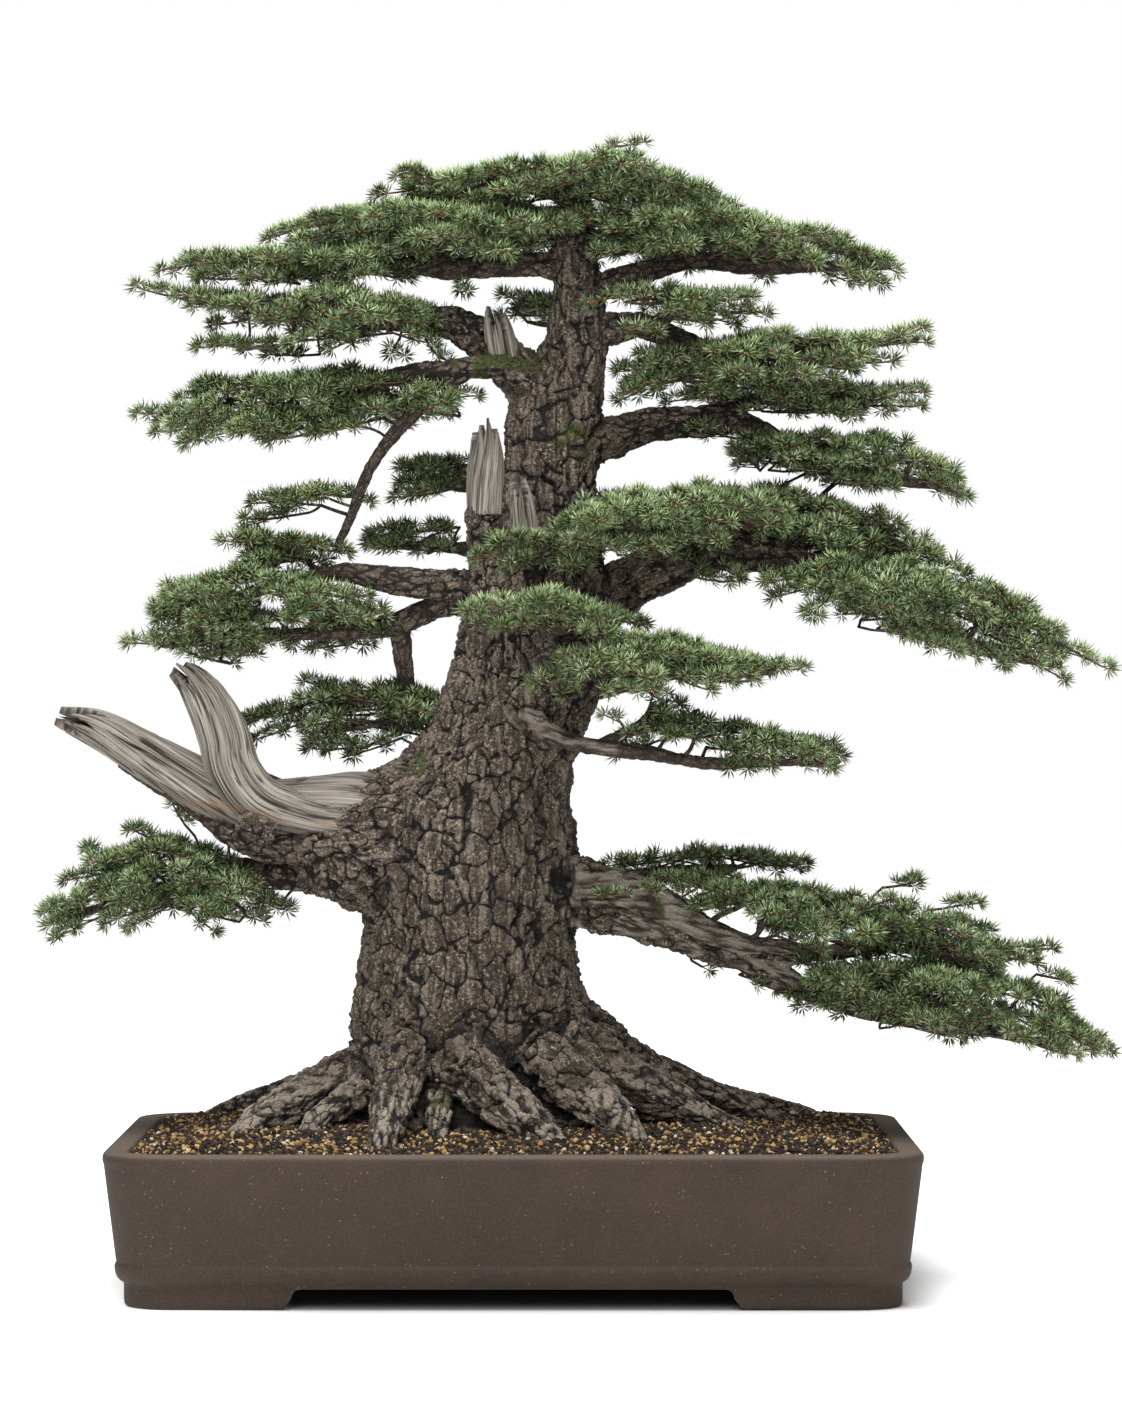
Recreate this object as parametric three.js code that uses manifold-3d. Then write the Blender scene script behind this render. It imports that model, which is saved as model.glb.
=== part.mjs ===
// Conifer bonsai in a rectangular stoneware pot.
// Millimetres, +Z up, standing on Z = 0. -Y is the front and +X is to the right.
import * as THREE from 'three';
import { mergeVertices } from 'three/addons/utils/BufferGeometryUtils.js';
import Module from 'manifold-3d';

const wasm = await Module();
wasm.setup();

// ---- Driving dimensions ----

// Gap between pieces that touch.
const CLEARANCE = 0.3;
// How far a cutting body runs past the face that it cuts.
const CUT_OVERLAP = 1;

// Pot.
const POT_WIDTH = 567;
const POT_DEPTH = 400;
const POT_HEIGHT = 107;
const POT_CORNER_RADIUS = 48;
const WALL_THICKNESS = 18;
const WALL_LEAN = 9;
const LIP_HEIGHT = 8;
const LIP_STEP = 0.8;
const RIM_ROUND = 3;
const MOULDING_HEIGHT = 13;
const MOULDING_BULGE = 0.6;
const MOULDING_ROUND = 3;
const FOOT_HEIGHT = 17;
const FOOT_INSET = 15;
const FOOT_ROUND = 4;
const FOOT_THICKNESS = 26;
const FOOT_LENGTH_FRONT = 111;
const FOOT_LENGTH_SIDE = 96;
const BRACKET_SWEEP = 12;
const UNDERSIDE_HEIGHT = 14.5;
const FLOOR_THICKNESS = 12;

// Drainage.
const DRAIN_HOLE_DIAMETER = 24;
const DRAIN_HOLE_SPACING = 260;
const MESH_THICKNESS = 1.2;
const MESH_OPENING = 6;
const MESH_BAR = 1.5;
const MESH_OPENINGS_PER_SIDE = 5;
const CLIP_WIRE_DIAMETER = 1.6;
const CLIP_LEG_REACH = 16;
const ANCHOR_WIRE_DIAMETER = 2.5;

// Soil.
const SOIL_BELOW_RIM = 3;
const SOIL_MOUND = 12;

// Tree. TREE_HEIGHT is measured from the pot's rim.
const TREE_HEIGHT = 720;
const TREE_SPREAD = 760;
const ROOT_BASE_DEPTH = 32;
const ROOT_TO_WALL = 12;

// The forms below are drawn for a tree of this height and spread.
const DRAWN_HEIGHT = 720;
const DRAWN_SPREAD = 760;

// Fineness of the meshes.
const CORNER_STEPS = 4;
const LIMB_SIDES = 6;
const PAD_SIDES = 8;
const BOLE_SIDES = 14;
const STEPS_PER_SPAN = 2;

// ---- Sizes that follow ----

const WALL_BOTTOM = FOOT_HEIGHT + MOULDING_HEIGHT;
const LIP_BOTTOM = POT_HEIGHT - LIP_HEIGHT;
const FLOOR_TOP = UNDERSIDE_HEIGHT + FLOOR_THICKNESS;
const INNER_HALF_WIDTH = POT_WIDTH / 2 - WALL_THICKNESS;
const INNER_HALF_DEPTH = POT_DEPTH / 2 - WALL_THICKNESS;
const SOIL_EDGE = POT_HEIGHT - SOIL_BELOW_RIM;
const WIDE = TREE_SPREAD / DRAWN_SPREAD;
const TALL = TREE_HEIGHT / DRAWN_HEIGHT;
const MESH_PITCH = MESH_OPENING + MESH_BAR;
const MESH_SIZE = MESH_PITCH * MESH_OPENINGS_PER_SIDE + MESH_BAR;
const MESH_TOP = FLOOR_TOP + CLEARANCE + MESH_THICKNESS;

// ---- Closed bodies from rings of points ----

// Joins rings that turn right-handed about the way they are stacked, and closes both ends.
function skin(rings) {
  const sides = rings[0].length;
  const positions = [];
  const index = [];
  const add = (point) => positions.push(point.x, point.y, point.z);
  rings.forEach((ring) => ring.forEach(add));
  for (let level = 0; level < rings.length - 1; level += 1) {
    for (let i = 0; i < sides; i += 1) {
      const here = level * sides + i;
      const next = level * sides + ((i + 1) % sides);
      index.push(here, next, next + sides);
      index.push(here, next + sides, here + sides);
    }
  }
  const last = (rings.length - 1) * sides;
  const startCentre = rings.length * sides;
  const endCentre = startCentre + 1;
  add(centreOf(rings[0]));
  add(centreOf(rings[rings.length - 1]));
  for (let i = 0; i < sides; i += 1) {
    const next = (i + 1) % sides;
    index.push(startCentre, next, i);
    index.push(endCentre, last + i, last + next);
  }
  const geometry = new THREE.BufferGeometry();
  geometry.setAttribute('position', new THREE.Float32BufferAttribute(positions, 3));
  geometry.setIndex(index);
  return geometry;
}

function centreOf(ring) {
  const sum = new THREE.Vector3();
  ring.forEach((point) => sum.add(point));
  return sum.divideScalar(ring.length);
}

function toSolid(geometry) {
  const bare = geometry.clone();
  bare.deleteAttribute('normal');
  bare.deleteAttribute('uv');
  const merged = mergeVertices(bare, 1e-4);
  return new wasm.Manifold(new wasm.Mesh({
    numProp: 3,
    vertProperties: Float32Array.from(merged.attributes.position.array),
    triVerts: Uint32Array.from(merged.index.array),
  }));
}

function toGeometry(solid) {
  const mesh = solid.getMesh();
  const geometry = new THREE.BufferGeometry();
  geometry.setAttribute('position', new THREE.BufferAttribute(mesh.vertProperties, 3));
  geometry.setIndex(new THREE.BufferAttribute(mesh.triVerts, 1));
  geometry.computeVertexNormals();
  return geometry;
}

function union(solids) {
  return solids.reduce((all, solid) => all.add(solid));
}

// The body itself, without crumbs that a cut left beside it.
function mainBody(solid) {
  const bodies = solid.simplify(0.02).decompose();
  return bodies.reduce((best, body) => (body.volume() > best.volume() ? body : best));
}

function boxesMeet(a, b) {
  const first = a.boundingBox();
  const second = b.boundingBox();
  return [0, 1, 2].every((k) => first.min[k] <= second.max[k] && second.min[k] <= first.max[k]);
}

function cutAway(solid, cutters) {
  const near = cutters.filter((cutter) => boxesMeet(solid, cutter));
  return near.reduce((rest, cutter) => rest.subtract(cutter), solid);
}

// ---- The pot ----

// One ring of a rectangle with round corners, inset from the pot's outer rim.
function potRing(inset, z) {
  const halfWidth = POT_WIDTH / 2 - inset;
  const halfDepth = POT_DEPTH / 2 - inset;
  const radius = Math.max(POT_CORNER_RADIUS - inset, 6);
  const ring = [];
  for (let corner = 0; corner < 4; corner += 1) {
    const signX = corner === 0 || corner === 3 ? 1 : -1;
    const signY = corner < 2 ? 1 : -1;
    for (let step = 0; step <= CORNER_STEPS; step += 1) {
      const angle = (corner + step / CORNER_STEPS) * (Math.PI / 2);
      const x = signX * (halfWidth - radius) + radius * Math.cos(angle);
      const y = signY * (halfDepth - radius) + radius * Math.sin(angle);
      ring.push(new THREE.Vector3(x, y, z));
    }
  }
  return ring;
}

// The gap between two feet, with bracket ends, as a prism along Y.
function footGap(halfLength, reach) {
  const knee = halfLength - BRACKET_SWEEP / 2;
  const kneeHeight = UNDERSIDE_HEIGHT * 0.6;
  const flat = halfLength - BRACKET_SWEEP;
  const shape = new THREE.Shape();
  shape.moveTo(-halfLength, -CUT_OVERLAP);
  shape.lineTo(-halfLength, 0);
  shape.lineTo(-knee, kneeHeight);
  shape.quadraticCurveTo(-knee, UNDERSIDE_HEIGHT, -flat, UNDERSIDE_HEIGHT);
  shape.lineTo(flat, UNDERSIDE_HEIGHT);
  shape.quadraticCurveTo(knee, UNDERSIDE_HEIGHT, knee, kneeHeight);
  shape.lineTo(halfLength, 0);
  shape.lineTo(halfLength, -CUT_OVERLAP);
  const geometry = new THREE.ExtrudeGeometry(shape, { depth: reach, bevelEnabled: false, curveSegments: 3 });
  geometry.rotateX(Math.PI / 2);
  geometry.translate(0, reach / 2, 0);
  return geometry;
}

function drainHole(side) {
  const radius = DRAIN_HOLE_DIAMETER / 2;
  const geometry = new THREE.CylinderGeometry(radius, radius, FLOOR_THICKNESS + 2 * CUT_OVERLAP, 20);
  geometry.rotateX(Math.PI / 2);
  geometry.translate((side * DRAIN_HOLE_SPACING) / 2, 0, UNDERSIDE_HEIGHT + FLOOR_THICKNESS / 2);
  return toSolid(geometry);
}

function makePot() {
  const outside = toSolid(skin([
    potRing(FOOT_INSET + FOOT_ROUND, 0),
    potRing(FOOT_INSET + FOOT_ROUND * 0.25, FOOT_ROUND * 0.4),
    potRing(FOOT_INSET, FOOT_ROUND),
    potRing(FOOT_INSET, FOOT_HEIGHT),
    potRing(WALL_LEAN + MOULDING_ROUND, FOOT_HEIGHT + 0.1 * MOULDING_HEIGHT),
    potRing(WALL_LEAN, FOOT_HEIGHT + 0.35 * MOULDING_HEIGHT),
    potRing(WALL_LEAN - MOULDING_BULGE, FOOT_HEIGHT + 0.7 * MOULDING_HEIGHT),
    potRing(WALL_LEAN, WALL_BOTTOM - MOULDING_BULGE),
    potRing(WALL_LEAN + MOULDING_BULGE, WALL_BOTTOM),
    potRing(LIP_STEP, LIP_BOTTOM),
    potRing(0, LIP_BOTTOM + LIP_STEP),
    potRing(0, POT_HEIGHT - RIM_ROUND),
    potRing(RIM_ROUND * 0.3, POT_HEIGHT - RIM_ROUND * 0.3),
    potRing(RIM_ROUND, POT_HEIGHT),
  ]));
  const inside = toSolid(skin([
    potRing(WALL_THICKNESS + WALL_LEAN, FLOOR_TOP),
    potRing(WALL_THICKNESS + WALL_LEAN, WALL_BOTTOM),
    potRing(WALL_THICKNESS, LIP_BOTTOM),
    potRing(WALL_THICKNESS, POT_HEIGHT - RIM_ROUND / 2),
    potRing(WALL_THICKNESS - RIM_ROUND / 2, POT_HEIGHT),
    potRing(WALL_THICKNESS - RIM_ROUND / 2, POT_HEIGHT + CUT_OVERLAP),
  ]));
  const recess = toSolid(skin([
    potRing(FOOT_INSET + FOOT_THICKNESS, -CUT_OVERLAP),
    potRing(FOOT_INSET + FOOT_THICKNESS, UNDERSIDE_HEIGHT),
  ]));
  const frontGap = footGap(POT_WIDTH / 2 - FOOT_INSET - FOOT_LENGTH_FRONT, POT_DEPTH + CUT_OVERLAP);
  const sideGap = footGap(POT_DEPTH / 2 - FOOT_INSET - FOOT_LENGTH_SIDE, POT_WIDTH + CUT_OVERLAP);
  sideGap.rotateZ(Math.PI / 2);
  const cutters = [inside, recess, toSolid(frontGap), toSolid(sideGap), drainHole(-1), drainHole(1)];
  return mainBody(cutAway(outside, cutters));
}

// ---- Drain meshes and wires ----

function box(width, depth, height, x, y, z) {
  const geometry = new THREE.BoxGeometry(width, depth, height);
  geometry.translate(x, y, z);
  return toSolid(geometry);
}

function makeDrainMesh(side) {
  const x = (side * DRAIN_HOLE_SPACING) / 2;
  const z = MESH_TOP - MESH_THICKNESS / 2;
  const middle = (MESH_OPENINGS_PER_SIDE - 1) / 2;
  const openings = [];
  for (let row = 0; row < MESH_OPENINGS_PER_SIDE; row += 1) {
    for (let column = 0; column < MESH_OPENINGS_PER_SIDE; column += 1) {
      const across = x + (column - middle) * MESH_PITCH;
      const back = (row - middle) * MESH_PITCH;
      openings.push(box(MESH_OPENING, MESH_OPENING, MESH_THICKNESS + CUT_OVERLAP, across, back, z));
    }
  }
  return cutAway(box(MESH_SIZE, MESH_SIZE, MESH_THICKNESS, x, 0, z), openings);
}

// A wire through the given corners, each corner bent over a short radius.
function wire(corners, diameter, grow = 0) {
  const bend = diameter * 1.2;
  const points = [corners[0]];
  for (let i = 1; i < corners.length - 1; i += 1) {
    const corner = corners[i];
    const back = corners[i - 1].clone().sub(corner).normalize().multiplyScalar(bend);
    const ahead = corners[i + 1].clone().sub(corner).normalize().multiplyScalar(bend);
    points.push(corner.clone().add(back), corner.clone().add(ahead));
  }
  points.push(corners[corners.length - 1]);
  const radii = points.map(() => diameter / 2);
  return toSolid(skin(tubeRings(points, radii, LIMB_SIDES, grow)));
}

// The bent wire that holds a mesh square down: over the mesh, through the hole and out under the floor.
function meshClip(side, grow = 0) {
  const x = (side * DRAIN_HOLE_SPACING) / 2;
  const radius = CLIP_WIRE_DIAMETER / 2;
  const top = MESH_TOP + CLEARANCE + radius;
  const under = UNDERSIDE_HEIGHT - CLEARANCE - radius;
  return wire([
    new THREE.Vector3(x - MESH_PITCH - CLIP_LEG_REACH, 0, under),
    new THREE.Vector3(x - MESH_PITCH, 0, under),
    new THREE.Vector3(x - MESH_PITCH, 0, top),
    new THREE.Vector3(x + MESH_PITCH, 0, top),
    new THREE.Vector3(x + MESH_PITCH, 0, under),
    new THREE.Vector3(x + MESH_PITCH + CLIP_LEG_REACH, 0, under),
  ], CLIP_WIRE_DIAMETER, grow);
}

// The tie wire: under the floor from one drain hole to the other, and up each to the root base.
function anchorWire(grow = 0) {
  const x = DRAIN_HOLE_SPACING / 2;
  const under = UNDERSIDE_HEIGHT - CLEARANCE - ANCHOR_WIRE_DIAMETER / 2;
  const rootBase = POT_HEIGHT - ROOT_BASE_DEPTH - CLEARANCE - ANCHOR_WIRE_DIAMETER / 2;
  const bendAbove = MESH_TOP + MESH_PITCH;
  return wire([
    new THREE.Vector3(-ROOT_BASE_REACH, MESH_PITCH, rootBase),
    new THREE.Vector3(-x, MESH_PITCH, bendAbove),
    new THREE.Vector3(-x, MESH_PITCH, under),
    new THREE.Vector3(x, MESH_PITCH, under),
    new THREE.Vector3(x, MESH_PITCH, bendAbove),
    new THREE.Vector3(ROOT_BASE_REACH, MESH_PITCH, rootBase),
  ], ANCHOR_WIRE_DIAMETER, grow);
}

// ---- Limbs ----

// Rings of a round tube through the points, kept from twisting.
function tubeRings(points, radii, sides, grow) {
  const rings = [];
  let normal = null;
  const swell = grow / Math.cos(Math.PI / sides);
  points.forEach((point, i) => {
    const before = points[Math.max(i - 1, 0)];
    const after = points[Math.min(i + 1, points.length - 1)];
    const tangent = after.clone().sub(before).normalize();
    if (normal === null) {
      normal = Math.abs(tangent.y) < 0.9 ? new THREE.Vector3(0, 1, 0) : new THREE.Vector3(1, 0, 0);
    }
    normal = normal.clone().addScaledVector(tangent, -normal.dot(tangent)).normalize();
    const binormal = tangent.clone().cross(normal);
    const centre = point.clone();
    if (i === 0) centre.addScaledVector(tangent, -grow);
    if (i === points.length - 1) centre.addScaledVector(tangent, grow);
    const ring = [];
    for (let k = 0; k < sides; k += 1) {
      const angle = (k / sides) * Math.PI * 2;
      const spoke = normal.clone().multiplyScalar(Math.cos(angle)).addScaledVector(binormal, Math.sin(angle));
      ring.push(centre.clone().addScaledVector(spoke, radii[i] + swell));
    }
    rings.push(ring);
  });
  return rings;
}

// Places a drawn point of the tree: x and y from the pot's centre, z above the rim.
function treePoint(x, y, z) {
  return new THREE.Vector3(x * WIDE, y * WIDE, POT_HEIGHT + z * TALL);
}

// A tapering round limb through stations [x, y, z, radius].
function limb(stations, grow = 0) {
  const corners = stations.map(([x, y, z]) => treePoint(x, y, z));
  const curve = new THREE.CatmullRomCurve3(corners, false, 'centripetal');
  const count = (stations.length - 1) * STEPS_PER_SPAN;
  const points = [];
  const radii = [];
  for (let i = 0; i <= count; i += 1) {
    const span = Math.min(Math.floor(i / STEPS_PER_SPAN), stations.length - 2);
    const share = i / STEPS_PER_SPAN - span;
    points.push(curve.getPoint(i / count));
    radii.push(THREE.MathUtils.lerp(stations[span][3], stations[span + 1][3], share));
  }
  return toSolid(skin(tubeRings(points, radii, LIMB_SIDES, grow)));
}

function limbs(parts, grow = 0) {
  return union(parts.map((stations) => limb(stations, grow)));
}

// ---- The trunk ----

// Where the anchor wire ends under the root base, from the pot's middle, and how far the base tapers in.
const ROOT_BASE_REACH = 80;
const ROOT_BASE_TAPER = 0.9;

// The bole, from the root base up: [x, y, z, half width, half depth].
const BOLE = [
  [-27, 0, 0, 105, 88],
  [-25, 0, 30, 98, 82],
  [-30, 0, 62, 88, 76],
  [-32, 0, 95, 82, 74],
  [-32, 0, 131, 76, 72],
  [-33, 0, 167, 76, 72],
  [-33, 0, 205, 76, 70],
  [-31, 0, 240, 70, 67],
  [-21, 0, 265, 63, 62],
  [-4, 0, 295, 58, 56],
  [10, 0, 335, 57, 54],
  [18, 0, 380, 56, 52],
  [16, 0, 411, 48, 46],
  [21, 0, 440, 38, 38],
  [24, 0, 468, 33, 34],
  [28, 0, 500, 35, 34],
  [31, 0, 526, 35, 33],
  [39, 0, 550, 27, 27],
  [44, 0, 572, 22, 22],
  [45, 0, 600, 19, 20],
  [43, 0, 634, 16, 16],
  [46, 0, 660, 10, 10],
  [50, 0, 682, 5, 5],
];

// The left shoulder, and the bark-covered stub under the upright dead branch.
const TRUNK_SWELLINGS = [
  [[-45, -2, 185, 62], [-95, -6, 195, 46], [-130, -10, 205, 36], [-150, -13, 214, 22]],
  [[-5, -10, 360, 22], [-16, -14, 400, 18], [-21, -15, 430, 15], [-21, -15, 446, 14]],
];

// Surface roots, [across, back, z, radius]: across and back are shares of the room inside the pot.
const ROOTS = [
  [[-0.4, 0.17, 45, 16], [-0.6, 0.47, 28, 12], [-0.8, 0.76, 11, 8], [-0.96, 0.94, -6, 4]],
  [[-0.42, -0.1, 48, 22], [-0.6, -0.25, 28, 17], [-0.72, -0.37, 13, 13], [-0.81, -0.46, -6, 8]],
  [[-0.42, -0.28, 36, 13], [-0.54, -0.38, 15, 10], [-0.6, -0.47, -5, 6]],
  [[-0.3, -0.36, 60, 20], [-0.33, -0.56, 34, 17], [-0.35, -0.76, 14, 14], [-0.37, -0.93, -6, 8]],
  [[-0.16, -0.4, 60, 26], [-0.06, -0.53, 34, 22], [0.05, -0.62, 14, 16], [0.13, -0.7, -7, 10]],
  [[-0.2, -0.42, 36, 11], [-0.21, -0.57, 16, 9], [-0.2, -0.67, -4, 5]],
  [[0.04, -0.34, 60, 24], [0.2, -0.46, 34, 19], [0.3, -0.59, 14, 15], [0.36, -0.71, -7, 9]],
  [[0.14, -0.22, 66, 24], [0.36, -0.27, 36, 18], [0.52, -0.25, 17, 13], [0.68, -0.22, -5, 8]],
  [[0.16, 0.06, 78, 22], [0.37, 0.29, 43, 15], [0.6, 0.53, 19, 10], [0.82, 0.76, 5, 8], [0.93, 0.88, -6, 4]],
  [[0.2, 0, 60, 22], [0.46, 0.09, 34, 15], [0.68, 0.18, 14, 11], [0.83, 0.25, -5, 7]],
  [[-0.12, 0.34, 46, 22], [-0.18, 0.64, 20, 15], [-0.24, 0.88, -6, 7]],
  [[0.08, 0.34, 46, 20], [0.24, 0.64, 20, 14], [0.34, 0.88, -6, 7]],
  [[-0.32, 0.3, 46, 20], [-0.46, 0.6, 18, 13], [-0.56, 0.82, -6, 7]],
];

function boleRing(x, y, z, halfWidth, halfDepth, grow) {
  const swell = grow / Math.cos(Math.PI / BOLE_SIDES);
  const ring = [];
  for (let k = 0; k < BOLE_SIDES; k += 1) {
    const angle = (k / BOLE_SIDES) * Math.PI * 2;
    const dx = (halfWidth + swell) * Math.cos(angle);
    const dy = (halfDepth + swell) * Math.sin(angle);
    ring.push(treePoint(x, y, 0).add(new THREE.Vector3(dx, dy, z)));
  }
  return ring;
}

function bole(grow) {
  const top = BOLE.length - 1;
  const rings = BOLE.map(([x, y, z, w, d], i) => boleRing(x, y, z * TALL + (i === top ? grow : 0), w, d, grow));
  const [x, y, , width, depth] = BOLE[0];
  const base = boleRing(x, y, -ROOT_BASE_DEPTH - grow, width * ROOT_BASE_TAPER, depth * ROOT_BASE_TAPER, grow);
  return toSolid(skin([base, ...rings]));
}

function root(stations, grow) {
  const points = stations.map(([across, back, z]) => new THREE.Vector3(
    across * (INNER_HALF_WIDTH - ROOT_TO_WALL),
    back * (INNER_HALF_DEPTH - ROOT_TO_WALL),
    POT_HEIGHT + z,
  ));
  const radii = stations.map((station) => station[3]);
  return toSolid(skin(tubeRings(points, radii, LIMB_SIDES, grow)));
}

function trunk(grow = 0) {
  return union([bole(grow), limbs(TRUNK_SWELLINGS, grow), ...ROOTS.map((stations) => root(stations, grow))]);
}

// ---- Soil ----

function makeSoil(cutters) {
  const top = WALL_THICKNESS + CLEARANCE;
  const bottom = top + WALL_LEAN;
  const reach = POT_DEPTH / 2 - top;
  const block = toSolid(skin([
    potRing(bottom, FLOOR_TOP + CLEARANCE),
    potRing(bottom, WALL_BOTTOM),
    potRing(top, LIP_BOTTOM),
    potRing(top, SOIL_EDGE),
    potRing(top + reach * 0.16, SOIL_EDGE + SOIL_MOUND * 0.4),
    potRing(top + reach * 0.4, SOIL_EDGE + SOIL_MOUND * 0.8),
    potRing(top + reach * 0.65, SOIL_EDGE + SOIL_MOUND),
  ]));
  return mainBody(cutAway(block, cutters));
}

// The room that a mesh square needs in the soil's underside.
function meshRoom(side) {
  const size = MESH_SIZE + 2 * CLEARANCE;
  const height = MESH_THICKNESS + CLEARANCE + CUT_OVERLAP;
  return box(size, size, height, (side * DRAIN_HOLE_SPACING) / 2, 0, MESH_TOP + CLEARANCE - height / 2);
}

// ---- Branches ----

// Each branch is one or more limbs of stations [x, y, z, radius].
const BRANCHES = {
  branch_low_right: [
    [[20, -5, 174, 29], [43, -10, 171, 28], [90, -22, 161, 25], [132, -30, 142, 19], [157, -34, 132, 16],
      [175, -35, 131, 13], [225, -32, 131, 7], [262, -30, 136, 4]],
    [[150, -33, 134, 14], [204, -36, 106, 10], [246, -38, 91, 8], [296, -38, 81, 6], [347, -32, 74, 5],
      [392, -24, 63, 3]],
    [[56, -12, 176, 9], [85, -2, 184, 7], [120, 8, 188, 5], [160, 15, 190, 3]],
  ],
  branch_low_left: [
    [[-100, 6, 188, 18], [-140, 7, 182, 14], [-198, 10, 189, 9], [-233, 8, 181, 6], [-284, 2, 167, 4],
      [-320, -3, 154, 2.5]],
  ],
  branch_thin_right: [
    [[4, -38, 304, 11], [10, -54, 298, 9], [34, -61, 283, 7], [68, -62, 276, 6], [97, -62, 273, 5.5],
      [133, -60, 266, 5], [176, -58, 266, 4], [222, -54, 268, 2.5]],
    [[58, -61, 278, 5], [89, -58, 293, 4], [100, -55, 308, 3]],
  ],
  branch_front: [
    [[16, -30, 346, 16], [30, -75, 345, 12], [50, -105, 344, 10], [100, -105, 338, 7], [150, -92, 331, 5],
      [185, -82, 331, 3]],
    [[30, -75, 345, 8], [25, -105, 361, 6], [-10, -125, 370, 4]],
    [[25, -102, 359, 5], [60, -118, 363, 3]],
  ],
  branch_right_large: [
    [[25, 0, 370, 26], [61, 0, 383, 24], [90, -5, 398, 21], [133, -10, 418, 18], [176, -15, 415, 15],
      [219, -20, 400, 12], [262, -25, 383, 9], [305, -25, 356, 7], [348, -22, 343, 5], [391, -18, 336, 3]],
    [[108, -8, 410, 9], [110, -45, 422, 7], [60, -75, 423, 4]],
    [[110, -42, 421, 6], [150, -55, 436, 3]],
  ],
  branch_right_third: [
    [[35, 0, 490, 20], [57, 0, 497, 18], [97, 5, 508, 15], [140, 8, 512, 13], [162, 8, 511, 11],
      [197, 5, 489, 9], [241, 0, 474, 6], [305, 0, 464, 3]],
    [[133, 8, 514, 8], [176, 15, 528, 6], [241, 20, 528, 4], [276, 20, 531, 2.5]],
  ],
  branch_right_second: [
    [[45, 0, 574, 14], [61, 0, 576, 12], [90, -8, 580, 10], [133, -15, 562, 8], [176, -20, 558, 6],
      [219, -20, 562, 5], [289, -12, 569, 2.5]],
    [[96, -10, 578, 6], [115, -35, 586, 4], [140, -48, 591, 3]],
  ],
  branch_right_top: [
    [[45, 0, 602, 13], [54, 0, 605, 12], [90, -10, 616, 10], [126, -15, 625, 8], [162, -12, 622, 7],
      [205, -5, 621, 5], [245, 0, 622, 4], [270, 0, 621, 2]],
  ],
  branch_left_top: [
    [[44, 0, 616, 13], [30, 0, 620, 12], [4, -3, 623, 9], [-47, 0, 620, 8], [-83, 0, 623, 6],
      [-126, 0, 624, 5], [-169, 2, 625, 4], [-215, 5, 623, 2.5]],
  ],
  branch_left_leader: [
    [[36, 0, 515, 24], [10, -4, 538, 21], [-25, -8, 569, 17], [-45, -8, 582, 14], [-83, -6, 582, 9],
      [-126, -8, 586, 7], [-169, -6, 591, 5], [-226, 0, 597, 3]],
  ],
  branch_left_second: [
    [[8, -4, 545, 14], [-11, -22, 548, 12], [-54, -26, 546, 9], [-90, -12, 541, 7], [-154, -6, 514, 5],
      [-215, 0, 506, 3]],
    [[-32, -25, 546, 8], [-54, -22, 531, 7], [-83, -16, 505, 6], [-104, -14, 476, 5], [-118, -12, 440, 4],
      [-128, -6, 420, 3]],
  ],
  branch_left_mid: [
    [[0, 0, 392, 18], [-32, 0, 392, 15], [-68, -5, 394, 12], [-97, -8, 398, 10], [-122, -10, 402, 8],
      [-142, -12, 398, 6], [-190, -18, 386, 4], [-235, -15, 381, 2.5]],
    [[0, 2, 374, 14], [-54, 5, 378, 10], [-83, 10, 366, 9], [-118, 12, 360, 6], [-162, 10, 358, 5],
      [-198, 10, 354, 4], [-255, 10, 350, 2.5]],
    [[-83, 11, 366, 8], [-81, 20, 340, 7], [-79, 30, 318, 6], [-86, 36, 285, 4]],
  ],
  branch_back_left_upper: [
    [[20, 20, 455, 9], [-15, 50, 463, 7], [-45, 80, 468, 5], [-72, 84, 472, 3]],
  ],
  branch_back_left_lower: [
    [[12, 25, 412, 9], [-30, 62, 420, 7], [-60, 75, 423, 5], [-95, 75, 424, 3]],
  ],
  branch_back_right_lower: [
    [[25, 30, 308, 14], [48, 60, 318, 11], [85, 95, 325, 8], [130, 130, 333, 5], [165, 140, 335, 3]],
  ],
  branch_back_right_upper: [
    [[28, 20, 428, 12], [50, 45, 432, 10], [85, 85, 438, 8], [130, 122, 442, 5], [172, 134, 442, 3]],
  ],
};

const DEAD_BRANCHES = {
  dead_branch_left: [
    [[-124, -15, 234, 24], [-161, -15, 231, 23], [-200, -15, 235, 21], [-232, -15, 250, 18],
      [-268, -15, 270, 16], [-297, -15, 288, 13], [-325, -15, 300, 7]],
    [[-186, -15, 232, 20], [-198, -15, 264, 20], [-210, -15, 296, 18], [-227, -15, 318, 14],
      [-246, -15, 332, 6]],
  ],
  dead_branch_upright: [
    [[-20, -15, 446.3, 13], [-21, -15, 470, 13], [-20, -15, 492, 10], [-20, -15, 516, 3]],
  ],
  dead_branch_short: [
    [[10, -26, 395, 10], [8, -34, 425, 10], [5, -34, 450, 8], [2, -34, 476, 3]],
  ],
  dead_branch_top: [
    [[-20, -18, 566, 9], [-10, -18, 574, 10], [-12, -16, 585, 8], [-14, -14, 594, 3]],
  ],
};

// ---- Foliage ----

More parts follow.
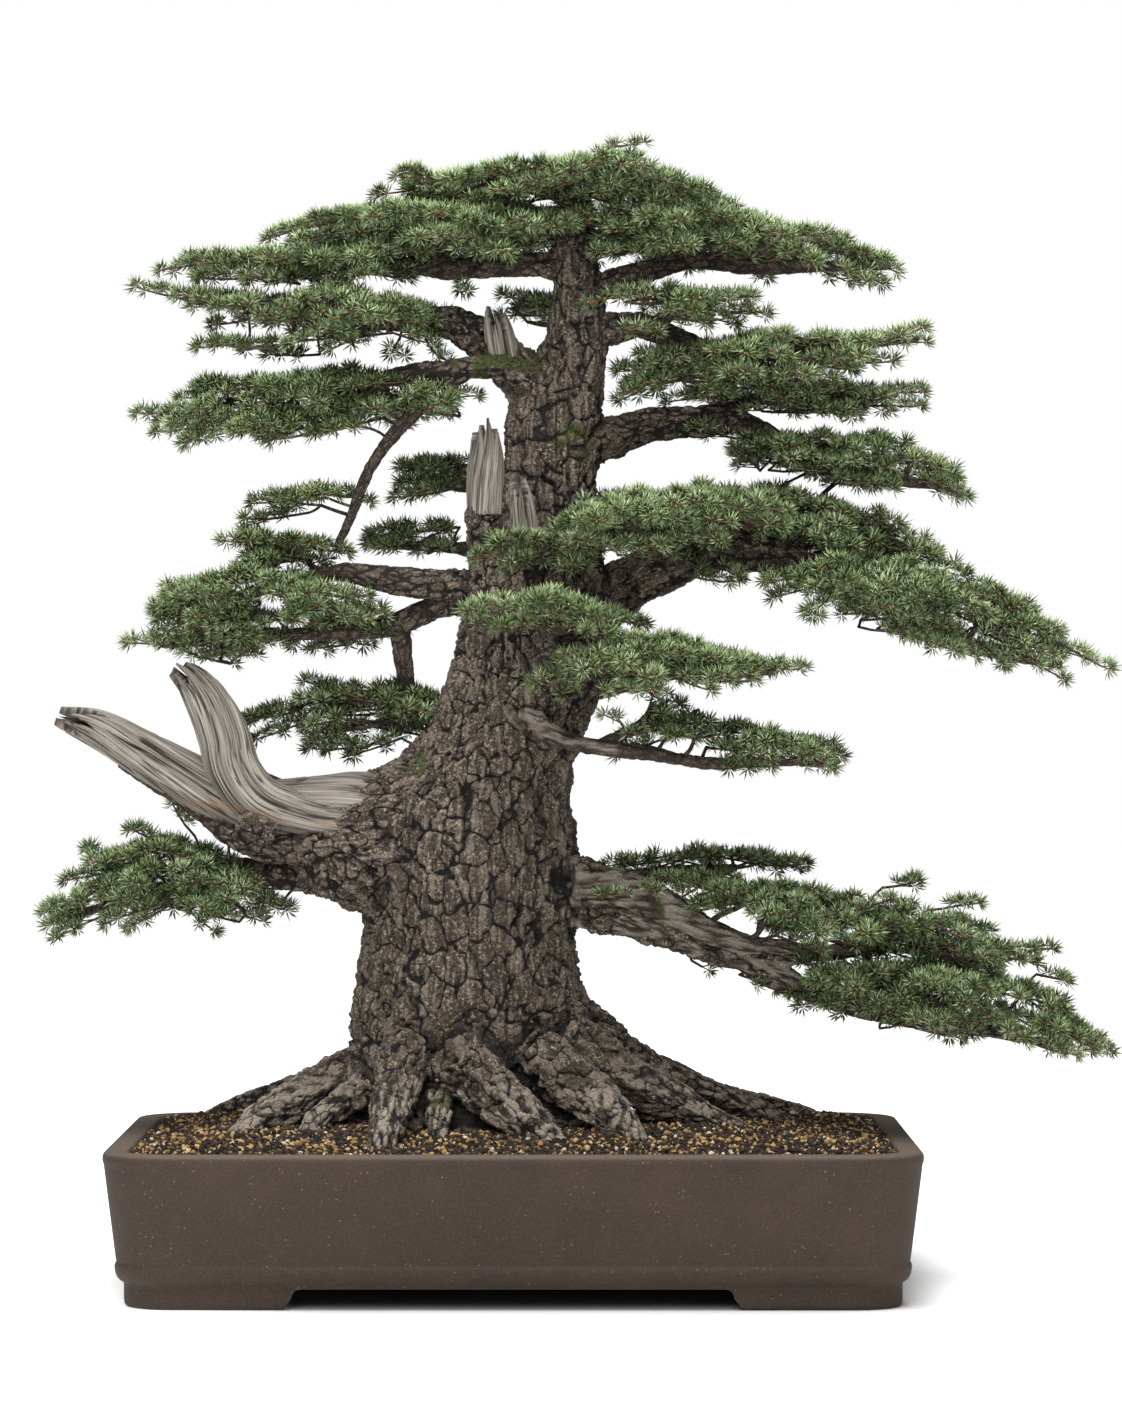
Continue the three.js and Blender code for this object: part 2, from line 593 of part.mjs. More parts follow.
// Each pad is a flat body that runs along X through stations [x, y, z, half depth, half thickness].
const PADS = {
  foliage_crown_top: [
    [-88, 0, 684, 20, 6], [-47, 0, 681, 70, 12], [11, -5, 682, 95, 15], [68, -5, 685, 95, 17],
    [126, 0, 672, 60, 13], [165, 0, 661, 15, 6],
  ],
  foliage_crown_sprig: [
    [70, 0, 703, 8, 3], [76, 0, 708, 10, 5], [84, 0, 714, 9, 6], [91, 0, 716, 5, 4],
  ],
  foliage_crown_left: [
    [-167, 0, 647, 10, 4], [-126, 0, 653, 45, 13], [-68, 0, 652, 75, 19], [-4, 0, 648, 90, 21],
    [40, 0, 646, 60, 16],
  ],
  foliage_crown_right: [
    [48, 0, 646, 60, 16], [118, 0, 647, 90, 21], [176, 0, 642, 75, 19], [226, 0, 635, 45, 14],
    [279, 0, 622, 10, 5],
  ],
  foliage_crown_inner: [
    [-14, 30, 597, 8, 5], [15, 32, 596, 28, 12], [40, 34, 595, 26, 12], [62, 30, 596, 8, 6],
  ],
  foliage_left_upper: [
    [-247, 5, 620, 10, 4], [-205, 5, 624, 40, 11], [-147, 5, 626, 55, 13], [-83, 5, 628, 50, 12],
    [-54, 5, 630, 20, 7],
  ],
  foliage_left_leader: [
    [-275, 0, 604, 8, 4], [-233, 0, 599, 25, 8], [-190, -10, 592, 50, 16], [-132, -15, 589, 55, 20],
    [-82, -15, 587, 45, 18], [-56, -15, 584, 15, 8],
  ],
  foliage_left_second: [
    [-256, 0, 508, 10, 5], [-215, 0, 520, 45, 23], [-154, -5, 524, 60, 26], [-97, -5, 527, 55, 23],
    [-47, -3, 526, 35, 17], [-26, 0, 525, 10, 6],
  ],
  foliage_left_drooping: [
    [-181, -10, 448, 8, 4], [-154, -10, 454, 25, 12], [-125, -10, 454, 25, 13], [-110, -10, 454, 8, 6],
  ],
  foliage_left_tip: [
    [-229, 0, 415, 8, 4], [-197, 0, 420, 30, 11], [-154, 0, 419, 40, 13], [-120, -4, 416, 10, 6],
  ],
  foliage_mid_left: [
    [-269, -10, 364, 8, 6], [-240, -15, 382, 40, 22], [-189, -20, 386, 60, 28], [-139, -20, 384, 45, 22],
    [-116, -20, 382, 10, 6],
  ],
  foliage_mid_left_low: [
    [-270, 10, 348, 8, 4], [-234, 10, 356, 40, 10], [-184, 10, 354, 45, 9], [-170, 10, 354, 20, 5],
  ],
  foliage_mid_inner: [
    [-164, 25, 350, 8, 6], [-134, 25, 360, 35, 18], [-98, 25, 365, 35, 16], [-74, 25, 358, 8, 6],
  ],
  foliage_left_hanging: [
    [-194, 25, 295, 8, 4], [-156, 30, 302, 40, 22], [-112, 35, 302, 50, 25], [-69, 40, 303, 35, 24],
    [-50, 42, 308, 10, 7],
  ],
  foliage_back_left_upper: [
    [-93, 80, 473, 8, 4], [-66, 85, 477, 35, 17], [-40, 88, 475, 25, 16], [-28, 88, 473, 10, 8],
  ],
  foliage_back_left_lower: [
    [-118, 70, 424, 8, 6], [-84, 75, 428, 35, 19], [-48, 80, 428, 30, 20], [-33, 80, 424, 10, 9],
  ],
  foliage_low_left: [
    [-333, -5, 149, 8, 4], [-302, 0, 174, 45, 25], [-255, 5, 188, 65, 33], [-205, 15, 177, 55, 26],
    [-160, 18, 172, 30, 14],
  ],
  foliage_right_inner: [
    [60, -45, 591, 8, 4], [89, -50, 591, 35, 15], [131, -50, 591, 35, 15], [163, -45, 595, 8, 4],
  ],
  foliage_right_second: [
    [66, 0, 546, 10, 6], [97, -10, 548, 40, 16], [146, -20, 552, 55, 22], [204, -20, 559, 55, 20],
    [254, -15, 567, 40, 12], [303, -10, 571, 8, 4],
  ],
  foliage_right_third_upper: [
    [108, 18, 531, 8, 4], [148, 20, 530, 40, 9], [206, 20, 530, 50, 13], [256, 20, 533, 40, 14],
    [288, 20, 534, 8, 6],
  ],
  foliage_right_third: [
    [133, 6, 500, 8, 5], [176, 5, 495, 40, 13], [226, 0, 487, 55, 22], [276, 0, 482, 45, 22],
    [327, 0, 465, 8, 6],
  ],
  foliage_right_front: [
    [-13, -85, 415, 8, 4], [21, -85, 420, 35, 13], [67, -75, 436, 55, 22], [124, -60, 446, 60, 22],
    [174, -50, 445, 40, 20], [203, -40, 439, 10, 7],
  ],
  foliage_right_large: [
    [70, 25, 452, 20, 8], [119, 25, 453, 50, 15], [184, 15, 444, 65, 22], [248, 5, 429, 60, 25],
    [298, 0, 418, 20, 13],
  ],
  foliage_right_tip: [
    [178, -50, 396, 10, 6], [231, -45, 396, 45, 22], [288, -35, 382, 60, 28], [346, -25, 364, 50, 27],
    [389, -20, 346, 25, 18], [411, -15, 338, 8, 6],
  ],
  foliage_front_upper: [
    [-50, -125, 373, 8, 5], [-17, -130, 375, 40, 14], [24, -130, 375, 50, 16], [66, -115, 366, 30, 13],
    [87, -105, 360, 8, 6],
  ],
  foliage_front_lower: [
    [13, -115, 330, 8, 5], [52, -120, 337, 40, 17], [101, -105, 342, 55, 19], [151, -90, 337, 35, 14],
    [195, -80, 332, 8, 4],
  ],
  foliage_thin_right: [
    [85, -55, 286, 8, 5], [124, -60, 288, 35, 19], [166, -60, 284, 40, 19], [209, -55, 275, 25, 12],
    [237, -50, 271, 8, 5],
  ],
  foliage_low_right_upper: [
    [74, 12, 195, 8, 5], [112, 13, 194, 35, 13], [162, 15, 195, 40, 15], [205, 15, 190, 20, 12],
  ],
  foliage_low_right: [
    [100, -50, 182, 8, 5], [152, -50, 174, 45, 17], [216, -45, 158, 60, 24], [281, -35, 148, 55, 22],
    [346, -25, 130, 30, 19], [362, -25, 124, 8, 6],
  ],
  foliage_low_right_tip: [
    [192, -45, 114, 8, 7], [245, -45, 112, 55, 21], [302, -40, 104, 60, 29], [360, -30, 93, 50, 29],
    [400, -20, 75, 25, 18], [424, -15, 60, 8, 4],
  ],
  foliage_back_right_lower: [
    [60, 122, 333, 8, 5], [95, 135, 336, 35, 13], [140, 140, 338, 40, 14], [182, 135, 335, 8, 5],
  ],
  foliage_back_right_upper: [
    [70, 115, 445, 8, 5], [110, 130, 449, 40, 14], [160, 136, 447, 40, 14], [202, 128, 441, 8, 5],
  ],
};

function pad(stations, grow = 0) {
  const rings = stations.map(([x, y, z, halfDepth, halfThickness], i) => {
    let ahead = 0;
    if (i === 0) ahead = -grow;
    if (i === stations.length - 1) ahead = grow;
    const ring = [];
    for (let k = 0; k < PAD_SIDES; k += 1) {
      const angle = (k / PAD_SIDES) * Math.PI * 2;
      const dy = (halfDepth * WIDE + grow) * Math.cos(angle);
      const dz = (halfThickness * TALL + grow) * Math.sin(angle);
      ring.push(treePoint(x, y, z).add(new THREE.Vector3(ahead, dy, dz)));
    }
    return ring;
  });
  return toSolid(skin(rings));
}

// ---- Materials ----

function material(colour, roughness, metalness = 0) {
  return new THREE.MeshStandardMaterial({ color: colour, roughness, metalness });
}

const stoneware = () => material(0x4f433c, 0.85);
const grit = () => material(0x3a2f26, 0.95);
const bark = () => material(0x5c5048, 0.95);
const deadWood = () => material(0xa9a49c, 0.8);
const needles = () => material(0x5f7f52, 0.8);
const plastic = () => material(0x22262a, 0.6);
const metal = () => material(0x8d8a86, 0.45, 0.9);

// ---- Assembly ----

const bonsai = new THREE.Group();

function addNode(name, solid, surface) {
  const mesh = new THREE.Mesh(toGeometry(solid), surface);
  mesh.name = name;
  bonsai.add(mesh);
}

addNode('pot', makePot(), stoneware());

const wireRoom = [meshClip(-1, CLEARANCE), meshClip(1, CLEARANCE), anchorWire(CLEARANCE)];
[['left', -1], ['right', 1]].forEach(([side, sign]) => {
  addNode(`drain_mesh_${side}`, makeDrainMesh(sign), plastic());
  addNode(`mesh_clip_${side}`, meshClip(sign), metal());
});
addNode('anchor_wire', anchorWire(), metal());

const trunkRoom = trunk(CLEARANCE);
addNode('soil', makeSoil([trunkRoom, meshRoom(-1), meshRoom(1), ...wireRoom]), grit());
addNode('trunk', mainBody(trunk()), bark());

// What the pieces added so far need around them, in the order in which they were added.
const taken = [trunkRoom];

function addGrown(name, solid, room, surface) {
  addNode(name, mainBody(cutAway(solid, taken)), surface);
  taken.push(room);
}

Object.entries(DEAD_BRANCHES).forEach(([name, parts]) => {
  addGrown(name, limbs(parts), limbs(parts, CLEARANCE), deadWood());
});
Object.entries(BRANCHES).forEach(([name, parts]) => {
  addGrown(name, limbs(parts), limbs(parts, CLEARANCE), bark());
});
Object.entries(PADS).forEach(([name, stations]) => {
  addGrown(name, pad(stations), pad(stations, CLEARANCE), needles());
});

// The origin is the middle of the whole thing's footprint, at the table.
const bounds = new THREE.Box3().setFromObject(bonsai);
const middle = bounds.getCenter(new THREE.Vector3());
bonsai.position.set(-middle.x, -middle.y, 0);

export default bonsai;
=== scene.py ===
import bpy
import numpy as np
from mathutils import Matrix, Vector
from mathutils.bvhtree import BVHTree
from mathutils.kdtree import KDTree


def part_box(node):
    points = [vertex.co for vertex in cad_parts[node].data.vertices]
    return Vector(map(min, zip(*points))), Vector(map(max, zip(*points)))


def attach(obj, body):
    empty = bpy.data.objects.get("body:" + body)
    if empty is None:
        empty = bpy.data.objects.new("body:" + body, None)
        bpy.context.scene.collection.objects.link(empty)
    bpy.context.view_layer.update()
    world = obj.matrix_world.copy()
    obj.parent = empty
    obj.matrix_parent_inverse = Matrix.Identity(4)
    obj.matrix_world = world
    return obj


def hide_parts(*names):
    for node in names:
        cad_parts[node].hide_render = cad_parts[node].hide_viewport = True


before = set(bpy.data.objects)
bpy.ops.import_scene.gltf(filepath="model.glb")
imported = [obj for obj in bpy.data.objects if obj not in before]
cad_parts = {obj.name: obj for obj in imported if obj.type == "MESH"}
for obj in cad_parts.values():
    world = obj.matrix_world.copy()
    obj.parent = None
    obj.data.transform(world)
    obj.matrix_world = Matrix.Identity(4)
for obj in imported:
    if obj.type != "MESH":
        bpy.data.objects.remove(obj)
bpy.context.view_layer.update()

# ---------------------------------------------------------------------------
# The table, the lights and the camera: a pale table that runs back into a white
# room, a broad lamp overhead with a weaker one in front, and a long lens level
# with the tree's middle.
# ---------------------------------------------------------------------------
# Sizes and places are in millimetres, and times MM they are in metres.
MM = 0.001
scene = bpy.context.scene
pot_low, pot_high = (Vector(corner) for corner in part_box("pot"))
pot_middle = (pot_low + pot_high) / 2

CAMERA_AWAY = 3900
CAMERA_HEIGHT = 417
CAMERA_RIGHT = 33
LENS = 139.5

camera = bpy.data.objects.new("camera", bpy.data.cameras.new("camera"))
scene.collection.objects.link(camera)
camera.data.lens = LENS
camera.data.sensor_width = 36.0
camera.data.clip_end = 50.0
camera.location = (pot_middle.x + CAMERA_RIGHT * MM, pot_middle.y - CAMERA_AWAY * MM, CAMERA_HEIGHT * MM)
camera.rotation_euler = (np.pi / 2, 0, 0)
scene.camera = camera

scene.view_settings.view_transform = "Standard"


def add_lamp(name, place, aim, size, power):
    lamp = bpy.data.objects.new(name, bpy.data.lights.new(name, "AREA"))
    lamp.data.size = size
    lamp.data.energy = power
    lamp.location = place
    lamp.rotation_euler = (Vector(aim) - Vector(place)).to_track_quat("-Z", "Y").to_euler()
    scene.collection.objects.link(lamp)


add_lamp("overhead_lamp", (-0.15, -0.75, 2.5), (0.0, 0.0, 0.4), 1.9, 95)
add_lamp("front_lamp", (-0.5, -3.2, 1.9), (0.0, 0.0, 0.4), 1.8, 42)


class Shade:
    """An output of a material's nodes, so that expressions on it add their Math nodes. A colour
    can be given as its code, such as "7b6f64"."""

    def __init__(self, tree, socket=None):
        self.tree = tree
        self.socket = socket

    def node(self, kind, settings=None, sockets=None, output=0):
        made = self.tree.nodes.new("ShaderNode" + kind)
        for key, value in (settings or {}).items():
            setattr(made, key, value)
        for key, value in (sockets or {}).items():
            if isinstance(value, Shade):
                self.tree.links.new(value.socket, made.inputs[key])
            else:
                made.inputs[key].default_value = colour(value) if isinstance(value, str) else value
        return Shade(self.tree, made.outputs[output])

    def math(self, operation, first, second=0.0):
        return self.node("Math", {"operation": operation}, {0: first, 1: second})

    def __add__(self, other):
        return self.math("ADD", self, other)

    def __radd__(self, other):
        return self.math("ADD", other, self)

    def __sub__(self, other):
        return self.math("SUBTRACT", self, other)

    def __rsub__(self, other):
        return self.math("SUBTRACT", other, self)

    def __mul__(self, other):
        return self.math("MULTIPLY", self, other)

    def __rmul__(self, other):
        return self.math("MULTIPLY", other, self)

    def above(self, low, high):
        """0 below low and 1 above high, with a soft step between them."""
        settings = {"interpolation_type": "SMOOTHSTEP"}
        return self.node("MapRange", settings, {"Value": self, "From Min": low, "From Max": high})

    def blend(self, first, second):
        """Colour first where this is 0 and colour second where it is 1."""
        return self.node("Mix", {"data_type": "RGBA"}, {0: self, 6: first, 7: second}, 2)

    def ramp(self, *stops):
        """The colour for this value: each stop is a place from 0 to 1 and the colour there."""
        made = self.node("ValToRGB", None, {"Fac": self})
        elements = made.socket.node.color_ramp.elements
        while len(elements) < len(stops):
            elements.new(0.5)
        for element, (place, hex_code) in zip(elements, stops):
            element.position = place
            element.color = colour(hex_code)
        return made

    def place(self):
        """Where the shaded point is on the object, in metres."""
        return self.node("TexCoord", output=3)

    def noise(self, size, detail=3.0, roughness=0.5):
        """Noise whose features are about size metres wide."""
        sockets = {"Vector": self.place(), "Scale": 1.0 / size, "Detail": detail, "Roughness": roughness}
        return self.node("TexNoise", None, sockets)

    def carried(self, name):
        """A value that the mesh carries at each point."""
        return self.node("Attribute", {"attribute_name": name}, output=2)

    def bump(self, height, depth, strength=1.0):
        return self.node("Bump", None, {"Height": height, "Distance": depth, "Strength": strength})


def new_material(name, roughness=0.8):
    """A material, a Shade to start its expressions from, and its shader's inputs."""
    material = bpy.data.materials.new(name)
    material.use_nodes = True
    shader = material.node_tree.nodes["Principled BSDF"]
    shader.inputs["Roughness"].default_value = roughness
    return material, Shade(material.node_tree), shader.inputs


def feed(target, shade):
    shade.tree.links.new(shade.socket, target)


def new_mesh(name, points, *face_sets):
    """A mesh from an array of points and arrays of faces, one array for each number of corners."""
    mesh = bpy.data.meshes.new(name)
    mesh.vertices.add(len(points))
    mesh.vertices.foreach_set("co", np.asarray(points, np.float32).ravel())
    corners = np.concatenate([faces.ravel() for faces in face_sets]).astype(np.int32)
    sizes = np.concatenate([np.full(len(faces), faces.shape[1]) for faces in face_sets])
    mesh.loops.add(len(corners))
    mesh.loops.foreach_set("vertex_index", corners)
    mesh.polygons.add(len(sizes))
    mesh.polygons.foreach_set("loop_start", (np.cumsum(sizes) - sizes).astype(np.int32))
    mesh.update(calc_edges=True)
    mesh.validate()
    mesh.shade_smooth()
    return mesh


world = bpy.data.worlds.new("room")
scene.world = world
world.use_nodes = True
room = Shade(world.node_tree)
room_light = world.node_tree.nodes["Background"].inputs
room_light["Color"].default_value = (1.0, 1.0, 1.0, 1.0)
feed(room_light["Strength"], 0.21 + room.node("LightPath") * 0.79)

table_material, shade, inputs = new_material("pale_table", 0.9)
inputs["Base Color"].default_value = (0.72, 0.72, 0.72, 1.0)
inputs["Emission Color"].default_value = (1.0, 1.0, 1.0, 1.0)
inputs["Emission Strength"].default_value = 1.0
sideways = shade.node("SeparateXYZ", None, {0: shade.place()}, 0)
sideways = shade.math("ABSOLUTE", sideways - pot_middle.x) - (pot_high.x - pot_low.x) / 2
distance = shade.node("VectorMath", {"operation": "LENGTH"}, {0: shade.place()}, 1)
# The table glows white round the pot, so that only the shade close to it shows.
glow = shade.math("MAXIMUM", distance.above(0.24, 0.42), sideways.above(-0.03, 0.06))
feed(inputs["Emission Color"], glow.blend((0.0, 0.0, 0.0, 1.0), (0.9, 0.9, 0.9, 1.0)))
table_points = np.array([[-9, -6, 0], [9, -6, 0], [9, 12, 0], [-9, 12, 0]], float)
table = bpy.data.objects.new("table", new_mesh("table", table_points, np.array([[0, 1, 2, 3]])))
table.data.materials.append(table_material)
scene.collection.objects.link(table)

# ---------------------------------------------------------------------------
# The pot: one piece of dark unglazed stoneware, pressed in a mould and fired,
# with a flat rim over a narrow lip, leaning walls, a moulding band and four
# bracket feet. Two drain holes go through its floor.
# ---------------------------------------------------------------------------
POT_CORNER = 48
POT_FLOOR = 26.5
POT_UNDERSIDE = 14.5
FOOT_INSET = 15
FOOT_THICKNESS = 26
FOOT_LENGTH = 111
SIDE_GAP = 89
BRACKET = 12
DRAIN_HOLE_RADIUS = 12
DRAIN_HOLE_PLACE = 130
RANDOM_CELLS = 65536


def colour(hex_code):
    """A colour as it looks on screen, as the light values that a shader takes."""
    parts = [int(hex_code[i:i + 2], 16) / 255 for i in (0, 2, 4)]
    return tuple(c / 12.92 if c < 0.04045 else ((c + 0.055) / 1.055) ** 2.4 for c in parts) + (1.0,)


def add_piece(name, mesh, materials, replaced=()):
    """A piece of the object: it rides on the body, takes its finish and stands for its CAD nodes."""
    piece = bpy.data.objects.new(name, mesh)
    scene.collection.objects.link(piece)
    for material in materials:
        mesh.materials.append(material)
    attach(piece, "root")
    if replaced:
        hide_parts(*replaced)
    return piece


def evaluated(mesh, *modifiers):
    """A new mesh: this one with the modifiers applied, each a type and its settings."""
    holder = bpy.data.objects.new("holder", mesh)
    scene.collection.objects.link(holder)
    for kind, settings in modifiers:
        modifier = holder.modifiers.new(kind, kind)
        for key, value in settings.items():
            setattr(modifier, key, value)
    depsgraph = bpy.context.evaluated_depsgraph_get()
    made = bpy.data.meshes.new_from_object(holder.evaluated_get(depsgraph), depsgraph=depsgraph)
    bpy.data.objects.remove(holder)
    return made


def rounded_rectangle(half_width, half_depth, radius):
    """Points round a rectangle with round corners, always the same number of them."""
    corners = []
    for corner in range(4):
        sign_x = 1 if corner in (0, 3) else -1
        sign_y = 1 if corner < 2 else -1
        for angle in (corner + np.linspace(0, 1, 13)) * np.pi / 2:
            corners.append((sign_x * (half_width - radius) + radius * np.cos(angle),
                            sign_y * (half_depth - radius) + radius * np.sin(angle)))
    points = []
    for index, here in enumerate(corners):
        ahead = corners[(index + 1) % len(corners)]
        for share in np.linspace(0, 1, 25)[:-1] if index % 13 == 12 else [0]:
            points.append(np.array(here) * (1 - share) + np.array(ahead) * share)
    return np.array(points)


def cell_number(at):
    """A number for each cell of space, mixed enough to pick random values by."""
    return (at[:, 0] * 73856093 ^ at[:, 1] * 19349663 ^ at[:, 2] * 83492791) & (RANDOM_CELLS - 1)


def wander(points, size, seed=0):
    """Smooth noise from -1 to 1 in space, with features about size wide."""
    table = np.random.default_rng(seed).uniform(-1, 1, RANDOM_CELLS)
    scaled = np.asarray(points) / size
    cell = np.floor(scaled).astype(np.int64)
    part = scaled - cell
    part = part * part * (3 - 2 * part)
    total = np.zeros(len(scaled))
    for corner in np.ndindex(2, 2, 2):
        weight = np.prod(np.where(np.array(corner) == 1, part, 1 - part), axis=1)
        total += weight * table[cell_number(cell + corner)]
    return total


def stacked(rings):
    """Points and faces of a closed body made of rings with equal numbers of points."""
    count = len(rings[0])
    points = np.concatenate(rings + [[rings[0].mean(axis=0)], [rings[-1].mean(axis=0)]])
    here = np.arange(count)
    ahead = (here + 1) % count
    sides = [np.stack([here, ahead, ahead + count, here + count], 1) + level * count
             for level in range(len(rings) - 1)]
    last = (len(rings) - 1) * count
    start = np.stack([np.full(count, len(rings) * count), ahead, here], 1)
    end = np.stack([np.full(count, len(rings) * count + 1), here + last, ahead + last], 1)
    return points, np.concatenate(sides), np.concatenate([start, end])


pot_size = (pot_high - pot_low) / MM

# Round the wall from the foot's inner edge, up the outside and down the inside: how far each
# point lies in from the rim's outline, and its height.
pot_profile = [
    (FOOT_INSET + FOOT_THICKNESS, POT_UNDERSIDE), (FOOT_INSET + FOOT_THICKNESS, 1.0),
    (FOOT_INSET - 1 + FOOT_THICKNESS, 0.0),
    (19.0, 0.0), (17.0, 0.4), (15.8, 1.6), (15.2, 3.4), (15.0, 6.0), (15.0, 11.0), (15.0, 15.5),
    (14.6, 16.8), (13.2, 17.6), (11.6, 18.8), (10.2, 20.6), (9.2, 23.0), (8.6, 26.0), (8.5, 28.2),
    (8.9, 29.6), (9.6, 30.4), (9.6, 31.6), (9.2, 34.0), (7.6, 46.0), (5.8, 60.0), (4.0, 74.0), (2.2, 88.0),
    (1.2, 96.0), (0.9, 98.2), (0.3, 99.6), (0.0, 101.4), (0.1, 103.4), (0.6, 105.2), (1.7, 106.5),
    (3.6, 107.0), (9.0, 107.0), (14.6, 106.9), (16.4, 106.5), (17.5, 105.4), (18.0, 103.6), (18.2, 99.0),
    (21.0, 75.0), (24.0, 50.0), (26.6, 30.0), (28.5, POT_FLOOR),
]
pot_rings = []
for inset, height in pot_profile:
    outline = rounded_rectangle(pot_size.x / 2 - inset, pot_size.y / 2 - inset, max(POT_CORNER - inset, 12))
    ring = np.column_stack([outline, np.full(len(outline), height)])
    ring[:, :2] *= 1 + 0.0012 * wander(ring, 160, 5)[:, None]
    pot_rings.append(ring)


def bracket_gap(half_length, reach):
    """A prism along Y with the outline of the gap between two bracket feet."""
    curve = [(half_length - BRACKET + BRACKET / 2 * np.sin(t), POT_UNDERSIDE * (1 - 0.42 * (1 - np.cos(t))))
             for t in np.linspace(0, np.pi / 2, 6)]
    right = curve + [(half_length, 0), (half_length, -2)]
    outline = np.array([(-x, z) for x, z in right[::-1]] + right)
    front = np.column_stack([outline[:, 0], np.full(len(outline), -reach), outline[:, 1]])
    return stacked([front, front + (0, 2 * reach, 0)])


def cut_by(mesh, cutters):
    """The mesh with each cutting body taken away."""
    for points, sides, ends in cutters:
        holder = bpy.data.objects.new("cutter", new_mesh("cutter", points, sides, ends))
        scene.collection.objects.link(holder)
        mesh = evaluated(mesh, ("BOOLEAN", {"operation": "DIFFERENCE", "object": holder, "solver": "EXACT"}))
        bpy.data.objects.remove(holder)
    return mesh


def upright_disc(x, radius, low, high):
    angles = np.linspace(0, 2 * np.pi, 33)[:-1]
    ring = np.column_stack([x + radius * np.cos(angles), radius * np.sin(angles), np.full(32, low)])
    return stacked([ring, ring + (0, 0, high - low)])


points, sides, ends = stacked(pot_rings)
side_points, side_sides, side_ends = bracket_gap(SIDE_GAP, 300)
turned = side_points[:, [1, 0, 2]] * (-1, 1, 1)
pot_cutters = [bracket_gap(pot_size.x / 2 - FOOT_INSET - FOOT_LENGTH, 300), (turned, side_sides, side_ends),
               upright_disc(-DRAIN_HOLE_PLACE, DRAIN_HOLE_RADIUS, 10, 30),
               upright_disc(DRAIN_HOLE_PLACE, DRAIN_HOLE_RADIUS, 10, 30)]
pot_mesh = cut_by(new_mesh("pot", points, sides, ends), pot_cutters)
edge_round = {"width": 0.9, "segments": 2, "angle_limit": 0.9, "limit_method": "ANGLE"}
pot_mesh = evaluated(pot_mesh, ("BEVEL", edge_round))
pot_mesh.shade_smooth()
pot_mesh.transform(Matrix.Scale(MM, 4))
pot_mesh.transform(Matrix.Translation((pot_middle.x, pot_middle.y, 0)))

stoneware, shade, inputs = new_material("stoneware", 0.82)
clouds = shade.noise(0.09, 4.0, 0.6)
grain = shade.noise(0.0016, 3.0, 0.6)
specks = shade.node("TexVoronoi", None, {"Vector": shade.place(), "Scale": 260.0})
body = clouds.above(0.35, 0.68).blend("2e2219", "3b2d22")
body = (grain.above(0.45, 0.75) * 0.4).blend(body, "524436")
body = ((1 - specks.above(0.08, 0.16)) * shade.noise(0.012).above(0.5, 0.62)).blend(body, "7d6f61")
# Painted highlight: the flat top of the rim is made lighter, as if lit from above.
height = shade.node("SeparateXYZ", None, {0: shade.place()}, 2)
body = (height.above(0.1035, 0.1066) * 0.35).blend(body, "7b6f64")
feed(inputs["Base Color"], body)
feed(inputs["Roughness"], 0.72 + clouds * 0.2)
feed(inputs["Normal"], shade.bump(grain + shade.noise(0.006) * 1.5, 0.00035, 0.6))
add_piece("pot_stoneware", pot_mesh, [stoneware], ["pot"])

# ---------------------------------------------------------------------------
# Drainage: a square of dark plastic mesh over each drain hole, held by a bent
# aluminium wire, and the thicker wire that ties the root base to the pot.
# ---------------------------------------------------------------------------
mesh_plastic, shade, inputs = new_material("mesh_plastic", 0.6)
feed(inputs["Base Color"], shade.noise(0.01).blend("1c2023", "2b3034"))
wire_metal, shade, inputs = new_material("wire_metal", 0.45)
inputs["Metallic"].default_value = 0.9
feed(inputs["Base Color"], shade.noise(0.006).blend("77736c", "a09c95"))
for name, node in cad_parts.items():
    if name.startswith("drain_mesh"):
        node.data.materials.clear()
        node.data.materials.append(mesh_plastic)
    if "clip" in name or "wire" in name:
        node.data.materials.clear()
        node.data.materials.append(wire_metal)

# ---------------------------------------------------------------------------
# The live wood: trunk, surface roots and branches grew as one, under blocky
# bark that splits into plates along the way the wood runs. Moss grows on it
# in the forks and on the shoulder.
# ---------------------------------------------------------------------------
WOOD_VOXEL = 1.1
COARSE_VOXEL = 3.0
SMOOTH_PUSH = 0.55
SMOOTH_PULL = 0.57
PLATE_SIZE = 16.0
PLATE_STRETCH = 1.55
PLATE_RELIEF = 3.5
TWIG_PLATE_SIZE = 7.5
TWIG_PLATE_STRETCH = 2.1
MUSCLE_DEPTH = 2.6
KNOB_SIZE = 24

# The thicknesses, and then the heights, over which one kind of wood changes into another.
OLD_WOOD = (34, 90)
LARGE_PLATED_WOOD = (18, 46)
YOUNG_WOOD = (8, 26)
ROOT_TOP = (130, 165)
LOWEST_YOUNG_WOOD = (170, 230)


def neighbour_table(mesh, direction=None):
    """For each vertex, which others it shares an edge with, and each one's weight. With a
    direction, only the neighbours that lie along it count."""
    ends = np.empty(len(mesh.edges) * 2, np.int32)
    mesh.edges.foreach_get("vertices", ends)
    first, second = ends.reshape(-1, 2).T
    here = np.concatenate([first, second])
    there = np.concatenate([second, first])
    order = np.argsort(here, kind="stable")
    here, there = here[order], there[order]
    weights = np.ones(len(here))
    if direction is not None:
        points = points_of(mesh)
        edges = unit(points[there] - points[here])
        weights = np.abs(np.einsum("ni,ni->n", edges, direction[here])) ** 6 + 1e-4
    starts = np.searchsorted(here, np.arange(len(mesh.vertices)))
    return there, starts, weights[:, None], np.add.reduceat(weights, starts)[:, None]


def carry(mesh, values_by_name):
    """Gives the mesh values for each of its points, which its material reads by their names."""
    for name, values in values_by_name.items():
        attribute = mesh.attributes.new(name, "FLOAT", "POINT")
        attribute.data.foreach_set("value", np.asarray(values, np.float32))


